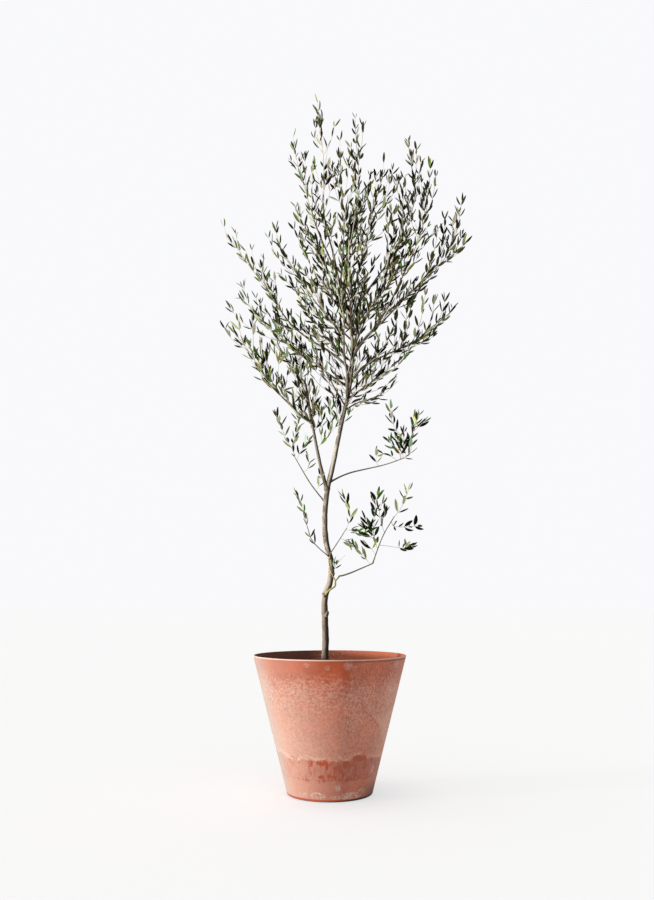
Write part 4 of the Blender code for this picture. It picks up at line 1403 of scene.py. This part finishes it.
leaf_finishes = []
for index, (upper_tint, under_tint, *_) in enumerate(tints):
    leaf_finishes.append(plain(f"leaf_upper_{index}", swatch(*upper_tint), 0.4, 0.05))
    leaf_finishes.append(plain(f"leaf_under_{index}", swatch(*under_tint), 0.8, 0.05))

no_masses = {"inside", "trunk_shoots"}
for number, start in enumerate(range(0, len(leaf_rows), leaves_in_a_piece), 1):
    end = start + leaves_in_a_piece
    points, faces, slots = leaf_mesh(leaf_rows[start:end])
    leaves = add_piece(f"leaves_{number}", points.tolist(), faces, leaf_finishes, slots)
    leaves.data.set_sharp_from_angle(angle=math.radians(60))
    stood_for = sorted(set(leaf_masses[start:end]) - set(leaf_masses[:start]) - no_masses)
    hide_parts(*stood_for)
    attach(leaves, "root")

# ------------------------------------------------------------------------------------ floor, light, view
# A plain pale floor that runs out of sight, an even pale sky, a soft lamp low on the left, and a weak
# broad one overhead, whose short shadow grounds the pot.

camera_place = (-0.0065, -2.2, 0.4587)
camera_pitch = math.radians(9.43)
focal_length = 35.36
floor_radius = 30
floor_sides = 96
floor_drop = -0.0002
sky_radius = 60
floor_colour = (0.66, 0.58, 0.56)
floor_glow = (0.519, 0.570, 0.583)
glow_colour = (0.947, 0.947, 0.965)
sky_light = 0.48
# Each lamp: its strength, how broad it looks, the way it shines from, and its height over the horizon.
lamps = {
    "low_lamp": (4.95, math.radians(8), math.radians(-104), math.radians(0.4)),
    "overhead_lamp": (0.45, math.radians(30), math.radians(-100), math.radians(83)),
}
lamp_colour = (1.0, 0.985, 0.96)


floor_turns = [math.tau * side / floor_sides for side in range(floor_sides)]
floor_points = [
    (floor_radius * math.cos(turn), floor_radius * math.sin(turn), floor_drop) for turn in floor_turns
]
floor_paint = plain("floor_paint", floor_colour, 0.9)
floor_inputs = floor_paint.node_tree.nodes["Principled BSDF"].inputs
floor_inputs["Emission Color"].default_value = (*floor_glow, 1)
floor_inputs["Emission Strength"].default_value = 1.0
floor = add_piece("floor", floor_points, [tuple(range(floor_sides))], [floor_paint])

glow = bpy.data.materials.new("backdrop_glow")
glow.use_nodes = True
glow.node_tree.nodes.clear()
glow_light = node("Emission", {"Color": (*glow_colour, 1), "Strength": 1.0}, tree=glow.node_tree)
glow_out = glow.node_tree.nodes.new("ShaderNodeOutputMaterial")
glow.node_tree.links.new(glow_light, glow_out.inputs["Surface"])
dome_shape = bmesh.new()
bmesh.ops.create_uvsphere(dome_shape, u_segments=64, v_segments=32, radius=sky_radius)
dome_mesh = bpy.data.meshes.new("backdrop")
dome_shape.to_mesh(dome_mesh)
dome_shape.free()
dome_mesh.materials.append(glow)
backdrop = bpy.data.objects.new("backdrop", dome_mesh)
bpy.context.scene.collection.objects.link(backdrop)
for ray in ("diffuse", "glossy", "transmission", "volume_scatter", "shadow"):
    setattr(backdrop, "visible_" + ray, False)

world = bpy.data.worlds.new("studio")
world.use_nodes = True
world.node_tree.nodes["Background"].inputs["Color"].default_value = (1, 1, 1, 1)
world.node_tree.nodes["Background"].inputs["Strength"].default_value = sky_light
bpy.context.scene.world = world

for name, (strength, breadth, azimuth, elevation) in lamps.items():
    lamp = bpy.data.objects.new(name, bpy.data.lights.new(name, "SUN"))
    lamp.data.energy = strength
    lamp.data.angle = breadth
    lamp.data.color = lamp_colour
    level = math.cos(elevation)
    towards_lamp = Vector((level * math.sin(azimuth), level * math.cos(azimuth), math.sin(elevation)))
    lamp.rotation_euler = towards_lamp.to_track_quat("Z", "Y").to_euler()
    bpy.context.scene.collection.objects.link(lamp)

camera = bpy.data.objects.new("camera", bpy.data.cameras.new("camera"))
camera.location = camera_place
camera.rotation_euler = (math.pi / 2 + camera_pitch, 0, 0)
camera.data.lens = focal_length
camera.data.sensor_width = 36
camera.data.clip_end = 200
bpy.context.scene.collection.objects.link(camera)
bpy.context.scene.camera = camera
bpy.context.scene.view_settings.view_transform = "Standard"
